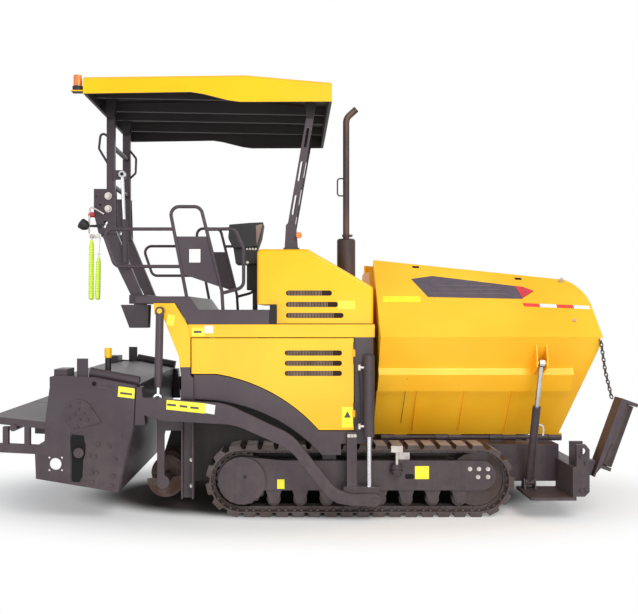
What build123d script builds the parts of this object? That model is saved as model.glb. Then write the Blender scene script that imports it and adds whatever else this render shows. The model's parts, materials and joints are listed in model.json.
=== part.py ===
from build123d import *
import os
from math import atan2, cos, degrees, pi, radians, sin

# Asphalt paver on tracks. Millimetres, +X is the front, +Y the left side, +Z up.
# The origin is on the ground, midway along the machine's length and width.

os.makedirs("parts", exist_ok=True)

SIDES = (("right", -1), ("left", 1))

# ---------------------------------------------------------------- driving sizes
RUNNING_GAP = 0.3  # round a rod, or between faces that slide
PIN_GAP = 0.08  # radial, round a hinge pin
CLEAR = 6.0  # between pieces that pass each other

# Tracks
TRACK_Y = 880.0  # middle of each track
SHOE_WIDTH = 300.0
LINK_COUNT = 41
PITCH_RADIUS = 261.0  # of the chain round sprocket and idler
SPROCKET_X = -631.0
IDLER_X = 1413.0
SHOE_DEPTH = 50.0  # pad tip below the pitch line
PAD_ROOT = 14.0  # pad root below the pitch line
PAD_TIP_LENGTH = 92.0
PAD_ROOT_LENGTH = 112.0
CHAIN_HALF_DEPTH = 26.0
CHAIN_WIDTH = 110.0
WHEEL_Z = SHOE_DEPTH + PITCH_RADIUS
WHEEL_RADIUS = PITCH_RADIUS - CHAIN_HALF_DEPTH - 1.0

# Track frames
BEAM_HALF_WIDTH = 100.0
BEAM_BOTTOM = 223.0
BEAM_TOP = 481.0
BEAM_REAR = SPROCKET_X + 320.0
ROLLER_COUNT = 8
ROLLER_RADIUS = 60.0
ROLLER_SPACING = 231.0
ROLLER_FIRST_X = SPROCKET_X + 275.0
EAR_THICKNESS = 15.0
EAR_Y = 68.0  # inner face of a roller ear from the track's middle
COVER_RADIUS = 205.0
FORK_X = IDLER_X + 34  # middle of the fork's round end
FORK_SHEET = 25.0
TENSIONER_X = 707.0
SPROCKET_TEETH = 23

# Chassis and tunnel
CHASSIS_HALF_WIDTH = 700.0
TUNNEL_HALF_WIDTH = 470.0
CHASSIS_REAR = -1125.0
CHASSIS_FRONT = 520.0
CHASSIS_BOTTOM = 250.0
CHASSIS_TOP = 1000.0
TUNNEL_TOP = 850.0
CONVEYOR_Z = 430.0  # underside of the conveyor's floor
CONVEYOR_FLOOR = 15.0
SLAT_PITCH = 165.0
SLAT_HEIGHT = 18.0
SLAT_LENGTH = 40.0

# Body sides
PANEL_Y = 1060.0  # outer face of doors, band and fenders
PANEL = 22.0  # their thickness
BAND_BOTTOM = 1555.0
BAND_TOP = 1666.0
BAND_REAR = -1089.0
BAND_FRONT = 516.0
DOOR_GAP = 8.0
DOOR_REAR = -1061.0
DOOR_FRONT = 335.0
DOOR_STEP_Z = 1241.0  # bottom edge at the rear, over the arch
DOOR_BOTTOM = 758.0
FENDER_BOTTOM = 544.0
FENDER_FRONT = 225.0
POST_FRONT = 500.0
HINGE_PIN_RADIUS = 9.0

# Hood and engine
HOOD_HALF_WIDTH = 1000.0
HOOD_REAR = -500.0
HOOD_FRONT = 510.0
HOOD_TOP = 2319.0
HOOD_CREST_X = -55.0
HOOD_NOSE_Z = 1988.0
HOOD_WALL = 12.0
HOOD_STEP_X = -328.0
HOOD_STEP_Z = 1838.0
ENGINE_TOP = 1600.0
LOUVRE_HEIGHT = 45.0

# Deck and station
DECK_REAR = -1540.0
DECK_STEP_X = -1081.0
DECK_LOW_X = -1000.0
DECK_FRONT = -390.0
DECK_HIGH_Z = 1908.0
DECK_LOW_Z = 1793.0
DECK_PLATE = 60.0
TAIL_REAR = -1705.0
TAIL_HALF_WIDTH = 480.0
RAIL_RADIUS = 15.0
RAIL_SEAT = 6.0  # how deep the rear feet of the gates sit in the deck
RAIL_BEND = 70.0

# Hopper
WING_HINGE_Y = 510.0
WING_HINGE_Z = 619.0
WING_FOLD_Y = 1250.0
WING_FOLD_Z = 1564.0
WING_TOP_Z = 2251.0
WING_NOSE_Z = 2063.0
WING_REAR = 550.0
WING_FRONT = 2412.0
WING_SHOULDER_X = WING_FRONT - 167
WING_SHEET = 12.0
KNUCKLE_RADIUS = 32.0
WING_PIN_RADIUS = 18.0
GUSSET_X = 1912.0
GUSSET_GAP = 76.0
GUSSET_SHEET = 12.0
FRAME_REAR = 2206.0
FRAME_FRONT = 2317.0
FRAME_BOTTOM = 213.0
FRAME_TOP = 655.0
FRAME_HALF_WIDTH = 1200.0

# Push rollers, folded up beside the front frame
BRACKET_LEAN = 20.0
BRACKET_X = 2372.0
BRACKET_Y = 1110.0
BRACKET_Z = 440.0
BRACKET_LENGTH = 640.0
BRACKET_DEPTH = 150.0
BRACKET_HALF_WIDTH = 85.0
BRACKET_SHEET = 14.0
PUSH_ROLLER_RADIUS = 62.0
SWING_PIN_RADIUS = 25.0

# Tow points, arms and screed
TOW_X = 500.0
TOW_Z = 190.0
ARM_INNER_Y = 1180.0
ARM_THICKNESS = 55.0
GUIDE_REAR = 274.0
GUIDE_FRONT = 358.0
GUIDE_BOTTOM = 241.0
GUIDE_TOP = 745.0
GUIDE_DEPTH = 50.0
LEVEL_X = 460.0
LEVEL_Y = 1140.0
LEVEL_TOP = 1406.0
LEVEL_BARREL_BOTTOM = 715.0
SCREED_HALF_WIDTH = 1215.0
SCREED_TOE = (-1652.0, 256.0)
SCREED_KNEE = (-1520.0, 821.0)
SCREED_BROW = (-1503.0, 1155.0)
SCREED_SPLIT_X = -2080.0
SCREED_GUIDE_RADIUS = 45.0
END_PLATE = 16.0
END_COVER = 12.0  # how far the end plate's round covers stand out
EXTENSION_REAR = -2262.0
WALKWAY_REAR = -2733.0
WALKWAY_Z = 787.0
WALKWAY_THICKNESS = 60.0
WALKWAY_ARM = 50.0  # width of the arms below it

# Screed lift cylinders
LIFT_TOP = (-1323.0, 1781.0)
LIFT_EYE = (-1340.0, 1039.0)
LIFT_Y = 1122.0

# Augers
AUGER_X = -1314.0
AUGER_Z = 298.0
AUGER_RADIUS = 175.0
AUGER_SHAFT_RADIUS = 45.0
AUGER_INNER_Y = 70.3
AUGER_OUTER_Y = 985.0
AUGER_PITCH = 250.0
AUGER_BLADE = 16.0

# Canopy
MAST_Y = 390.0
MAST_PIVOT = (-1888.0, 2744.0)
MAST_HEAD = (-1888.0, 3590.0)
MAST_DEPTH = 76.0
MAST_WIDTH = 56.0
ROOF_HALF_WIDTH = 1100.0
ROOF_REAR = -1985.0
ROOF_FRONT = 146.0
ROOF_SKIN = 24.0
STRUT_Y = 900.0
STRUT_BASE = (-206.0, 2514.0)
STRUT_HEAD = (-35.0, 3500.0)
STRUT_DEPTH = 65.0
STRUT_WIDTH = 30.0
CANOPY_CYLINDER_BASE = (-1735.0, 2200.0)
CANOPY_CYLINDER_EYE = (-1771.0, 3048.0)

# Exhaust
EXHAUST_X = 306.0
EXHAUST_Y = -450.0
MUFFLER_RADIUS = 85.0
MUFFLER_TOP = 2449.0
PIPE_RADIUS = 30.0
PIPE_HINGE_X = 356.0
PIPE_HINGE_Z = 2480.0
PIPE_TOP = 3629.0


# ---------------------------------------------------------------- drawing helpers
def side_plate(points, y_a, y_b, mode=Mode.ADD):
    """An outline in X and Z, as thick as from y_a to y_b."""
    with BuildSketch(Plane.XZ.offset(-max(y_a, y_b))) as outline:
        with BuildLine():
            Polyline(*points, close=True)
        make_face()
    extrude(outline.sketch, amount=abs(y_b - y_a), mode=mode)


def cross_plate(points, x_a, x_b, mode=Mode.ADD):
    """An outline in Y and Z, as thick as from x_a to x_b."""
    with BuildSketch(Plane.YZ.offset(min(x_a, x_b))) as outline:
        with BuildLine():
            Polyline(*points, close=True)
        make_face()
    extrude(outline.sketch, amount=abs(x_b - x_a), mode=mode)


def block(x, y, z, mode=Mode.ADD):
    """A box from its two limits along each axis."""
    spans = [sorted(span) for span in (x, y, z)]
    with Locations([tuple((low + high) / 2 for low, high in spans)]):
        Box(*(high - low for low, high in spans), mode=mode)


def bar(start, end, radius, mode=Mode.ADD):
    """A round bar from start to end."""
    along = Vector(*end) - Vector(*start)
    with BuildSketch(Plane(origin=start, z_dir=along)) as section:
        Circle(radius)
    extrude(section.sketch, amount=along.length, mode=mode)


def bent_tube(points, bend, radius, mode=Mode.ADD):
    """A round tube along points, with each corner bent to a radius."""
    with BuildLine() as path:
        FilletPolyline(*points, radius=bend)
    with BuildSketch(Plane(origin=path.line @ 0, z_dir=path.line % 0)) as section:
        Circle(radius)
    sweep(section.sketch, path=path.line, mode=mode)


def cross_bar(x, z, y_a, y_b, radius, mode=Mode.ADD):
    """A round bar along Y."""
    bar((x, min(y_a, y_b), z), (x, max(y_a, y_b), z), radius, mode)


def save(piece, name):
    piece.part.label = name
    export_step(piece.part, f"parts/{name}.step")


# ---------------------------------------------------------------- tracks
def track_point(distance, along, out):
    """A point by its place round the pitch line, then along and out from there."""
    run = IDLER_X - SPROCKET_X
    arc = pi * PITCH_RADIUS
    if distance < run:
        centre, turn = SPROCKET_X + distance, 0.0
    elif distance < run + arc:
        centre, turn = IDLER_X, (distance - run) / PITCH_RADIUS
    elif distance < 2 * run + arc:
        centre, turn = IDLER_X - (distance - run - arc), pi
    else:
        centre, turn = SPROCKET_X, pi + (distance - 2 * run - arc) / PITCH_RADIUS
    reach = PITCH_RADIUS + out
    x = centre + reach * sin(turn) + along * cos(turn)
    z = WHEEL_Z - reach * cos(turn) + along * sin(turn)
    return x, z


TRACK_LOOP = 2 * (IDLER_X - SPROCKET_X) + 2 * pi * PITCH_RADIUS
TRACK_PITCH = TRACK_LOOP / LINK_COUNT
SHOE_CORNERS = (  # along, out
    (-PAD_ROOT_LENGTH / 2, PAD_ROOT),
    (-PAD_TIP_LENGTH / 2, SHOE_DEPTH),
    (PAD_TIP_LENGTH / 2, SHOE_DEPTH),
    (PAD_ROOT_LENGTH / 2, PAD_ROOT),
)
SHOE_OUTLINE = [
    track_point((link + 0.5) * TRACK_PITCH, along, out)
    for link in range(LINK_COUNT)
    for along, out in SHOE_CORNERS
]
LOOP_MIDDLE_X = (IDLER_X + SPROCKET_X) / 2


def loop_band(out, inner, width, middle_y):
    """A plain band round the loop, between two offsets from the pitch line."""
    length = IDLER_X - SPROCKET_X
    with BuildSketch(Plane.XZ.offset(-middle_y - width / 2)) as band:
        with Locations((LOOP_MIDDLE_X, WHEEL_Z)):
            SlotCenterToCenter(length, 2 * (PITCH_RADIUS + out))
            SlotCenterToCenter(length, 2 * (PITCH_RADIUS + inner), mode=Mode.SUBTRACT)
    extrude(band.sketch, amount=width)


for side_name, side in SIDES:
    with BuildPart() as track:
        side_plate(
            SHOE_OUTLINE,
            side * TRACK_Y - SHOE_WIDTH / 2,
            side * TRACK_Y + SHOE_WIDTH / 2,
        )
        with BuildSketch(Plane.XZ.offset(-side * TRACK_Y - SHOE_WIDTH / 2)) as inside:
            with Locations((LOOP_MIDDLE_X, WHEEL_Z)):
                SlotCenterToCenter(IDLER_X - SPROCKET_X, 2 * (PITCH_RADIUS + 2))
        extrude(inside.sketch, amount=SHOE_WIDTH, mode=Mode.SUBTRACT)
        loop_band(PAD_ROOT / 2, -CHAIN_HALF_DEPTH, CHAIN_WIDTH, side * TRACK_Y)
    save(track, f"track_{side_name}")

    # Beam, roller ears, idler fork, top skids and the final drive's housing
    middle = side * TRACK_Y
    ear_y = [middle - EAR_Y - EAR_THICKNESS, middle + EAR_Y]
    roller_x = [ROLLER_FIRST_X + n * ROLLER_SPACING for n in range(ROLLER_COUNT)]
    roller_z = SHOE_DEPTH + CHAIN_HALF_DEPTH + ROLLER_RADIUS + 1.0
    outer = middle + side * BEAM_HALF_WIDTH
    with BuildPart() as track_frame:
        block(
            (BEAM_REAR, IDLER_X - WHEEL_RADIUS - 12),
            (middle - BEAM_HALF_WIDTH, middle + BEAM_HALF_WIDTH),
            (BEAM_BOTTOM, BEAM_TOP),
        )
        for y in ear_y:
            for x in roller_x:
                side_plate(
                    [
                        (x - 70, BEAM_BOTTOM),
                        (x - 32, roller_z - 30),
                        (x + 32, roller_z - 30),
                        (x + 70, BEAM_BOTTOM),
                    ],
                    y,
                    y + EAR_THICKNESS,
                )
        for y in (middle - BEAM_HALF_WIDTH, middle + BEAM_HALF_WIDTH - FORK_SHEET):
            block((IDLER_X - WHEEL_RADIUS - 40, FORK_X), (y, y + FORK_SHEET), (BEAM_BOTTOM, BEAM_TOP))
            cross_bar(FORK_X, (BEAM_BOTTOM + BEAM_TOP) / 2, y, y + FORK_SHEET, (BEAM_TOP - BEAM_BOTTOM) / 2)
        for x in (SPROCKET_X + 760, IDLER_X - 640):
            block(
                (x - 60, x + 60),
                (middle - 40, middle + 40),
                (BEAM_TOP, WHEEL_Z + PITCH_RADIUS - CHAIN_HALF_DEPTH - 1),
            )
        cross_bar(SPROCKET_X, WHEEL_Z, outer - side * 60, outer + side * 28, COVER_RADIUS)
        side_plate(
            [
                (SPROCKET_X, WHEEL_Z + COVER_RADIUS),
                (BEAM_REAR + 40, BEAM_TOP),
                (BEAM_REAR + 40, BEAM_BOTTOM),
                (ROLLER_FIRST_X - 80, BEAM_BOTTOM),
                (SPROCKET_X, WHEEL_Z - COVER_RADIUS),
            ],
            outer - side * 60,
            outer,
        )
        # Tensioner on the beam's face, and its plate outboard of the shoes
        y = outer + side * 42
        for radius, low, high in ((45, 371, 458), (56, 393, 408), (56, 424, 439)):
            bar((TENSIONER_X, y, low), (TENSIONER_X, y, high), radius)
        bar((TENSIONER_X, y + side * 26, 450), (TENSIONER_X, y + side * 26, 575), 12)
        block(
            (TENSIONER_X - 50, TENSIONER_X + 50),
            (outer + side * 56, outer + side * 82),
            (565, 620),
        )
    save(track_frame, f"track_frame_{side_name}")

    # Sprocket, idler and rollers: solids that do not touch
    inner_face = middle - side * BEAM_HALF_WIDTH
    with BuildPart() as running_gear:
        with BuildSketch(Plane.XZ.offset(-middle - 22)) as wheel:
            with Locations((SPROCKET_X, WHEEL_Z)):
                Circle(WHEEL_RADIUS)
                with PolarLocations(WHEEL_RADIUS + 6, SPROCKET_TEETH):
                    Circle(19, mode=Mode.SUBTRACT)
        extrude(wheel.sketch, amount=44)
        cross_bar(SPROCKET_X, WHEEL_Z, middle + side * 22, outer - side * 60, 110)
        cross_bar(SPROCKET_X, WHEEL_Z, middle - side * 22, inner_face, 130)
        cross_bar(IDLER_X, WHEEL_Z, middle - 42, middle + 42, WHEEL_RADIUS)
        cross_bar(IDLER_X, WHEEL_Z, middle - 75, middle + 75, 60)
        for x in roller_x:
            cross_bar(x, roller_z, middle - 50, middle + 50, ROLLER_RADIUS)
            cross_bar(x, roller_z, middle - EAR_Y, middle + EAR_Y, 26)
    save(running_gear, f"running_gear_{side_name}")

# ---------------------------------------------------------------- chassis
CROSS_BEAMS = ((-150.0, 90.0), (820.0, 1060.0))  # rear and front face of each
with BuildPart() as chassis_frame:
    cross_plate(
        [
            (-CHASSIS_HALF_WIDTH, CHASSIS_BOTTOM),
            (-TUNNEL_HALF_WIDTH, CHASSIS_BOTTOM),
            (-TUNNEL_HALF_WIDTH, TUNNEL_TOP),
            (TUNNEL_HALF_WIDTH, TUNNEL_TOP),
            (TUNNEL_HALF_WIDTH, CHASSIS_BOTTOM),
            (CHASSIS_HALF_WIDTH, CHASSIS_BOTTOM),
            (CHASSIS_HALF_WIDTH, CHASSIS_TOP),
            (-CHASSIS_HALF_WIDTH, CHASSIS_TOP),
        ],
        CHASSIS_REAR,
        CHASSIS_FRONT,
    )
    for rear, front in CROSS_BEAMS[:1]:
        for y in (-1, 1):
            block(
                (rear, front),
                (y * CHASSIS_HALF_WIDTH, y * (TRACK_Y - BEAM_HALF_WIDTH)),
                (CHASSIS_BOTTOM + 20, BEAM_TOP - 30),
            )
    for y in (-1, 1):
        # Final drive flange from the chassis to the sprocket's inner hub
        cross_bar(
            SPROCKET_X,
            WHEEL_Z,
            y * CHASSIS_HALF_WIDTH,
            y * (TRACK_Y - BEAM_HALF_WIDTH),
            150,
        )
save(chassis_frame, "chassis_frame")

SILL_TOP = WING_HINGE_Z - KNUCKLE_RADIUS - CLEAR
KNUCKLE_LENGTH = 120.0
TUB_KNUCKLES = (620.0, 1120.0, 1620.0, 2040.0)
with BuildPart() as hopper_sills:
    for y in (-1, 1):
        block(
            (CHASSIS_FRONT, FRAME_REAR),
            (y * TUNNEL_HALF_WIDTH, y * CHASSIS_HALF_WIDTH),
            (CHASSIS_BOTTOM, SILL_TOP),
        )
        rear, front = CROSS_BEAMS[1]
        block(
            (rear, front),
            (y * CHASSIS_HALF_WIDTH, y * (TRACK_Y - BEAM_HALF_WIDTH)),
            (CHASSIS_BOTTOM + 20, BEAM_TOP - 30),
        )
        for x in TUB_KNUCKLES:
            block(
                (x, x + KNUCKLE_LENGTH),
                (y * (WING_HINGE_Y - 22), y * (WING_HINGE_Y + 22)),
                (SILL_TOP, WING_HINGE_Z),
            )
            bar(
                (x, y * WING_HINGE_Y, WING_HINGE_Z),
                (x + KNUCKLE_LENGTH, y * WING_HINGE_Y, WING_HINGE_Z),
                KNUCKLE_RADIUS,
            )
        bar(
            (TUB_KNUCKLES[0], y * WING_HINGE_Y, WING_HINGE_Z),
            (TUB_KNUCKLES[-1] + KNUCKLE_LENGTH, y * WING_HINGE_Y, WING_HINGE_Z),
            WING_PIN_RADIUS,
        )
save(hopper_sills, "hopper_sills")

CONVEYOR_REAR = CHASSIS_REAR - 20.0
with BuildPart() as conveyor:
    block(
        (CONVEYOR_REAR, FRAME_REAR),
        (-TUNNEL_HALF_WIDTH, TUNNEL_HALF_WIDTH),
        (CONVEYOR_Z, CONVEYOR_Z + CONVEYOR_FLOOR),
    )
    floor_top = CONVEYOR_Z + CONVEYOR_FLOOR
    side_plate(
        [
            (CONVEYOR_REAR, floor_top),
            (CONVEYOR_REAR, floor_top + 75),
            (FRAME_REAR - 160, floor_top + 75),
            (FRAME_REAR - 40, floor_top),
        ],
        -35,
        35,
    )
    slats = int((FRAME_REAR - CONVEYOR_REAR - 80) / SLAT_PITCH) + 1
    for n in range(slats):
        x = CONVEYOR_REAR + 20 + n * SLAT_PITCH
        for y in (-1, 1):
            block(
                (x, x + SLAT_LENGTH),
                (y * 35, y * (TUNNEL_HALF_WIDTH - 15)),
                (floor_top, floor_top + SLAT_HEIGHT),
            )
save(conveyor, "conveyor")

WALL_SHEET = 20.0
WALL_TOP = 2150.0
with BuildPart() as hopper_wall:
    cross_plate(
        [
            (-WING_HINGE_Y - 40, TUNNEL_TOP),
            (WING_HINGE_Y + 40, TUNNEL_TOP),
            (WING_HINGE_Y + 40, WALL_TOP - 180),
            (WING_HINGE_Y - 140, WALL_TOP),
            (-WING_HINGE_Y + 140, WALL_TOP),
            (-WING_HINGE_Y - 40, WALL_TOP - 180),
        ],
        CHASSIS_FRONT,
        CHASSIS_FRONT + WALL_SHEET,
    )
save(hopper_wall, "hopper_wall")

# ---------------------------------------------------------------- front frame
LEAN = radians(BRACKET_LEAN)


def on_bracket(depth, y, height):
    """A row point from the push roller bracket's own depth, width and height."""
    x = BRACKET_X + depth * cos(LEAN) + height * sin(LEAN)
    z = BRACKET_Z - depth * sin(LEAN) + height * cos(LEAN)
    return x, y, z


SHELF_TOP = 205.0
WING_BARREL_BASE = (790.0, 262.0)  # Y and Z of its pin
LASHING_RADIUS = 27.0
with BuildPart() as front_frame:
    block(
        (FRAME_REAR, FRAME_FRONT),
        (-FRAME_HALF_WIDTH, FRAME_HALF_WIDTH),
        (FRAME_BOTTOM + 60, FRAME_BOTTOM + 250),
    )
    for y in (-1, 1):
        side_plate(
            [
                (FRAME_REAR, FRAME_BOTTOM),
                (FRAME_REAR, FRAME_TOP),
                (FRAME_FRONT - 35, FRAME_TOP),
                (FRAME_FRONT, FRAME_TOP - 45),
                (FRAME_FRONT, FRAME_BOTTOM + 40),
                (FRAME_FRONT - 40, FRAME_BOTTOM),
            ],
            y * FRAME_HALF_WIDTH,
            y * (FRAME_HALF_WIDTH - 30),
        )
        side_plate(
            [
                (FRAME_REAR, FRAME_BOTTOM),
                (FRAME_REAR, FRAME_TOP),
                (FRAME_FRONT, FRAME_TOP),
                (FRAME_FRONT, FRAME_BOTTOM),
            ],
            y * (BRACKET_Y - 90),
            y * (BRACKET_Y - 120),
        )
        # Shelf behind the beam, which carries the wing cylinder's foot
        block(
            (GUSSET_X - 90, FRAME_REAR),
            (y * CHASSIS_HALF_WIDTH, y * FRAME_HALF_WIDTH),
            (SHELF_TOP - 25, SHELF_TOP),
        )
        block(
            (FRAME_REAR - 30, FRAME_REAR),
            (y * CHASSIS_HALF_WIDTH, y * FRAME_HALF_WIDTH),
            (SHELF_TOP, FRAME_BOTTOM + 250),
        )
        for x in (GUSSET_X - 54, GUSSET_X + 42):
            cross_plate(
                [
                    (y * (WING_BARREL_BASE[0] - 60), SHELF_TOP),
                    (y * (WING_BARREL_BASE[0] - 30), WING_BARREL_BASE[1] + 34),
                    (y * (WING_BARREL_BASE[0] + 30), WING_BARREL_BASE[1] + 34),
                    (y * (WING_BARREL_BASE[0] + 60), SHELF_TOP),
                ],
                x,
                x + 12,
            )
        bar(
            (GUSSET_X - 54, y * WING_BARREL_BASE[0], WING_BARREL_BASE[1]),
            (GUSSET_X + 54, y * WING_BARREL_BASE[0], WING_BARREL_BASE[1]),
            20,
        )
        # Lug and pin of the push roller bracket
        low, high = on_bracket(-16, 0, -60), on_bracket(-16, 0, 70)
        side_plate(
            [
                (FRAME_FRONT - 1, low[2] - 5),
                (FRAME_FRONT - 1, high[2] + 5),
                (high[0], high[2]),
                (low[0], low[2]),
            ],
            y * (BRACKET_Y - 55),
            y * (BRACKET_Y + 55),
        )
        bar(
            on_bracket(-30, y * BRACKET_Y, 0),
            on_bracket(BRACKET_SHEET + 6, y * BRACKET_Y, 0),
            SWING_PIN_RADIUS,
        )
        cross_bar(
            (FRAME_REAR + FRAME_FRONT) / 2,
            FRAME_TOP - 60,
            y * FRAME_HALF_WIDTH,
            y * (FRAME_HALF_WIDTH - 30),
            LASHING_RADIUS,
            Mode.SUBTRACT,
        )
save(front_frame, "front_frame")

BRACKET_FOOT = -62.0  # lowest point of the bracket along its own height
CHEEK = 30.0
ROLLER_LOW = 60.0
ROLLER_HIGH = BRACKET_LENGTH - CHEEK
ROLLER_DEPTH = BRACKET_DEPTH - PUSH_ROLLER_RADIUS - 5.0
AXLE_RADIUS = 20.0
for side_name, side in SIDES:
    y = side * BRACKET_Y
    with BuildPart() as roller_bracket:
        outlines = (  # depth from, depth to, height from, height to
            (0, BRACKET_SHEET, BRACKET_FOOT, BRACKET_LENGTH),
            (0, BRACKET_DEPTH - 30, ROLLER_LOW - CHEEK - 4, ROLLER_LOW - 4),
            (0, BRACKET_DEPTH, ROLLER_HIGH + 4, BRACKET_LENGTH + 4),
        )
        for depth_a, depth_b, low, high in outlines:
            corners = ((depth_a, low), (depth_b, low), (depth_b, high), (depth_a, high))
            side_plate(
                [(on_bracket(d, 0, h)[0], on_bracket(d, 0, h)[2]) for d, h in corners],
                y - BRACKET_HALF_WIDTH,
                y + BRACKET_HALF_WIDTH,
            )
        for edge in (-1, 1):
            rim = y + edge * BRACKET_HALF_WIDTH
            corners = (
                (0, BRACKET_FOOT),
                (35, ROLLER_LOW - CHEEK),
                (60, BRACKET_LENGTH),
                (0, BRACKET_LENGTH),
            )
            side_plate(
                [(on_bracket(d, 0, h)[0], on_bracket(d, 0, h)[2]) for d, h in corners],
                rim,
                rim - edge * 10,
            )
        bar(
            on_bracket(-2, y, 0),
            on_bracket(BRACKET_SHEET + 2, y, 0),
            SWING_PIN_RADIUS + PIN_GAP,
            Mode.SUBTRACT,
        )
        for low, high in ((ROLLER_LOW - CHEEK - 8, ROLLER_LOW), (ROLLER_HIGH, BRACKET_LENGTH + 8)):
            bar(
                on_bracket(ROLLER_DEPTH, y, low),
                on_bracket(ROLLER_DEPTH, y, high),
                AXLE_RADIUS + PIN_GAP,
                Mode.SUBTRACT,
            )
    save(roller_bracket, f"roller_bracket_{side_name}")
    with BuildPart() as push_roller:
        bar(
            on_bracket(ROLLER_DEPTH, y, ROLLER_LOW + 1),
            on_bracket(ROLLER_DEPTH, y, ROLLER_HIGH - 1),
            PUSH_ROLLER_RADIUS,
        )
        bar(
            on_bracket(ROLLER_DEPTH, y, ROLLER_LOW - CHEEK),
            on_bracket(ROLLER_DEPTH, y, ROLLER_HIGH + CHEEK),
            AXLE_RADIUS,
        )
    save(push_roller, f"push_roller_{side_name}")


# ---------------------------------------------------------------- cylinders
def barrel(base, head, pin_axis, length, radius, rod_radius, pin_radius, eye_width):
    """A cylinder's barrel, pinned at base and pointing at head."""
    along = (Vector(*head) - Vector(*base)).normalized()
    pin = Vector(*pin_axis).normalized()
    foot = Vector(*base)
    eye_radius = pin_radius + 16
    bar(tuple(foot - pin * eye_width / 2), tuple(foot + pin * eye_width / 2), eye_radius)
    bar(tuple(foot + along * eye_radius * 0.6), tuple(foot + along * length), radius)
    bar(
        tuple(foot + along * (eye_radius + 14)),
        tuple(foot + along * (length + 1)),
        rod_radius + RUNNING_GAP,
        Mode.SUBTRACT,
    )
    bar(
        tuple(foot - pin * eye_width),
        tuple(foot + pin * eye_width),
        pin_radius + PIN_GAP,
        Mode.SUBTRACT,
    )


def rod(base, head, pin_axis, length, radius, pin_radius, eye_width):
    """A cylinder's rod, as long as given, with its eye at head."""
    along = (Vector(*head) - Vector(*base)).normalized()
    pin = Vector(*pin_axis).normalized()
    eye = Vector(*head)
    eye_radius = pin_radius + 16
    bar(tuple(eye - pin * eye_width / 2), tuple(eye + pin * eye_width / 2), eye_radius)
    bar(tuple(eye - along * length), tuple(eye - along * eye_radius * 0.6), radius)
    bar(
        tuple(eye - pin * eye_width),
        tuple(eye + pin * eye_width),
        pin_radius,
        Mode.SUBTRACT,
    )


# ---------------------------------------------------------------- hopper wings
WING_SLOPE = atan2(WING_FOLD_Z - WING_HINGE_Z, WING_FOLD_Y - WING_HINGE_Y)
WING_EYE = (1190.0, 1342.0)  # Y and Z of the cylinder's head
WING_RIB_Z = (1090.0, 1290.0)
WING_RIB_DEPTH = 55.0
WING_PIN = 20.0
WING_BARREL = 740.0
WING_ROD = 470.0
STIFFENER_X = (900.0, 1320.0, 1740.0)


def wing_line(z):
    """Half width of the lower plate's outer face at a height."""
    return WING_HINGE_Y + (z - WING_HINGE_Z) / (WING_FOLD_Z - WING_HINGE_Z) * (
        WING_FOLD_Y - WING_HINGE_Y
    )


def wing_strip(side, start, sheet):
    """The wing's folded section, from a distance off the hinge, as thick as sheet."""
    hinge = Vector(WING_HINGE_Y, WING_HINGE_Z)
    fold = Vector(WING_FOLD_Y, WING_FOLD_Z)
    top = Vector(WING_HINGE_Y, WING_TOP_Z)
    low, high = (fold - hinge).normalized(), (top - fold).normalized()
    turn = abs(low.X * high.Y - low.Y * high.X)
    inner_fold = fold + (high - low) * (sheet / turn)
    low_in, high_in = Vector(-low.Y, low.X), Vector(-high.Y, high.X)
    foot = hinge + low * start
    corners = (foot, fold, top, top + high_in * sheet, inner_fold, foot + low_in * sheet)
    return [(side * corner.X, corner.Y) for corner in corners]


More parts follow.
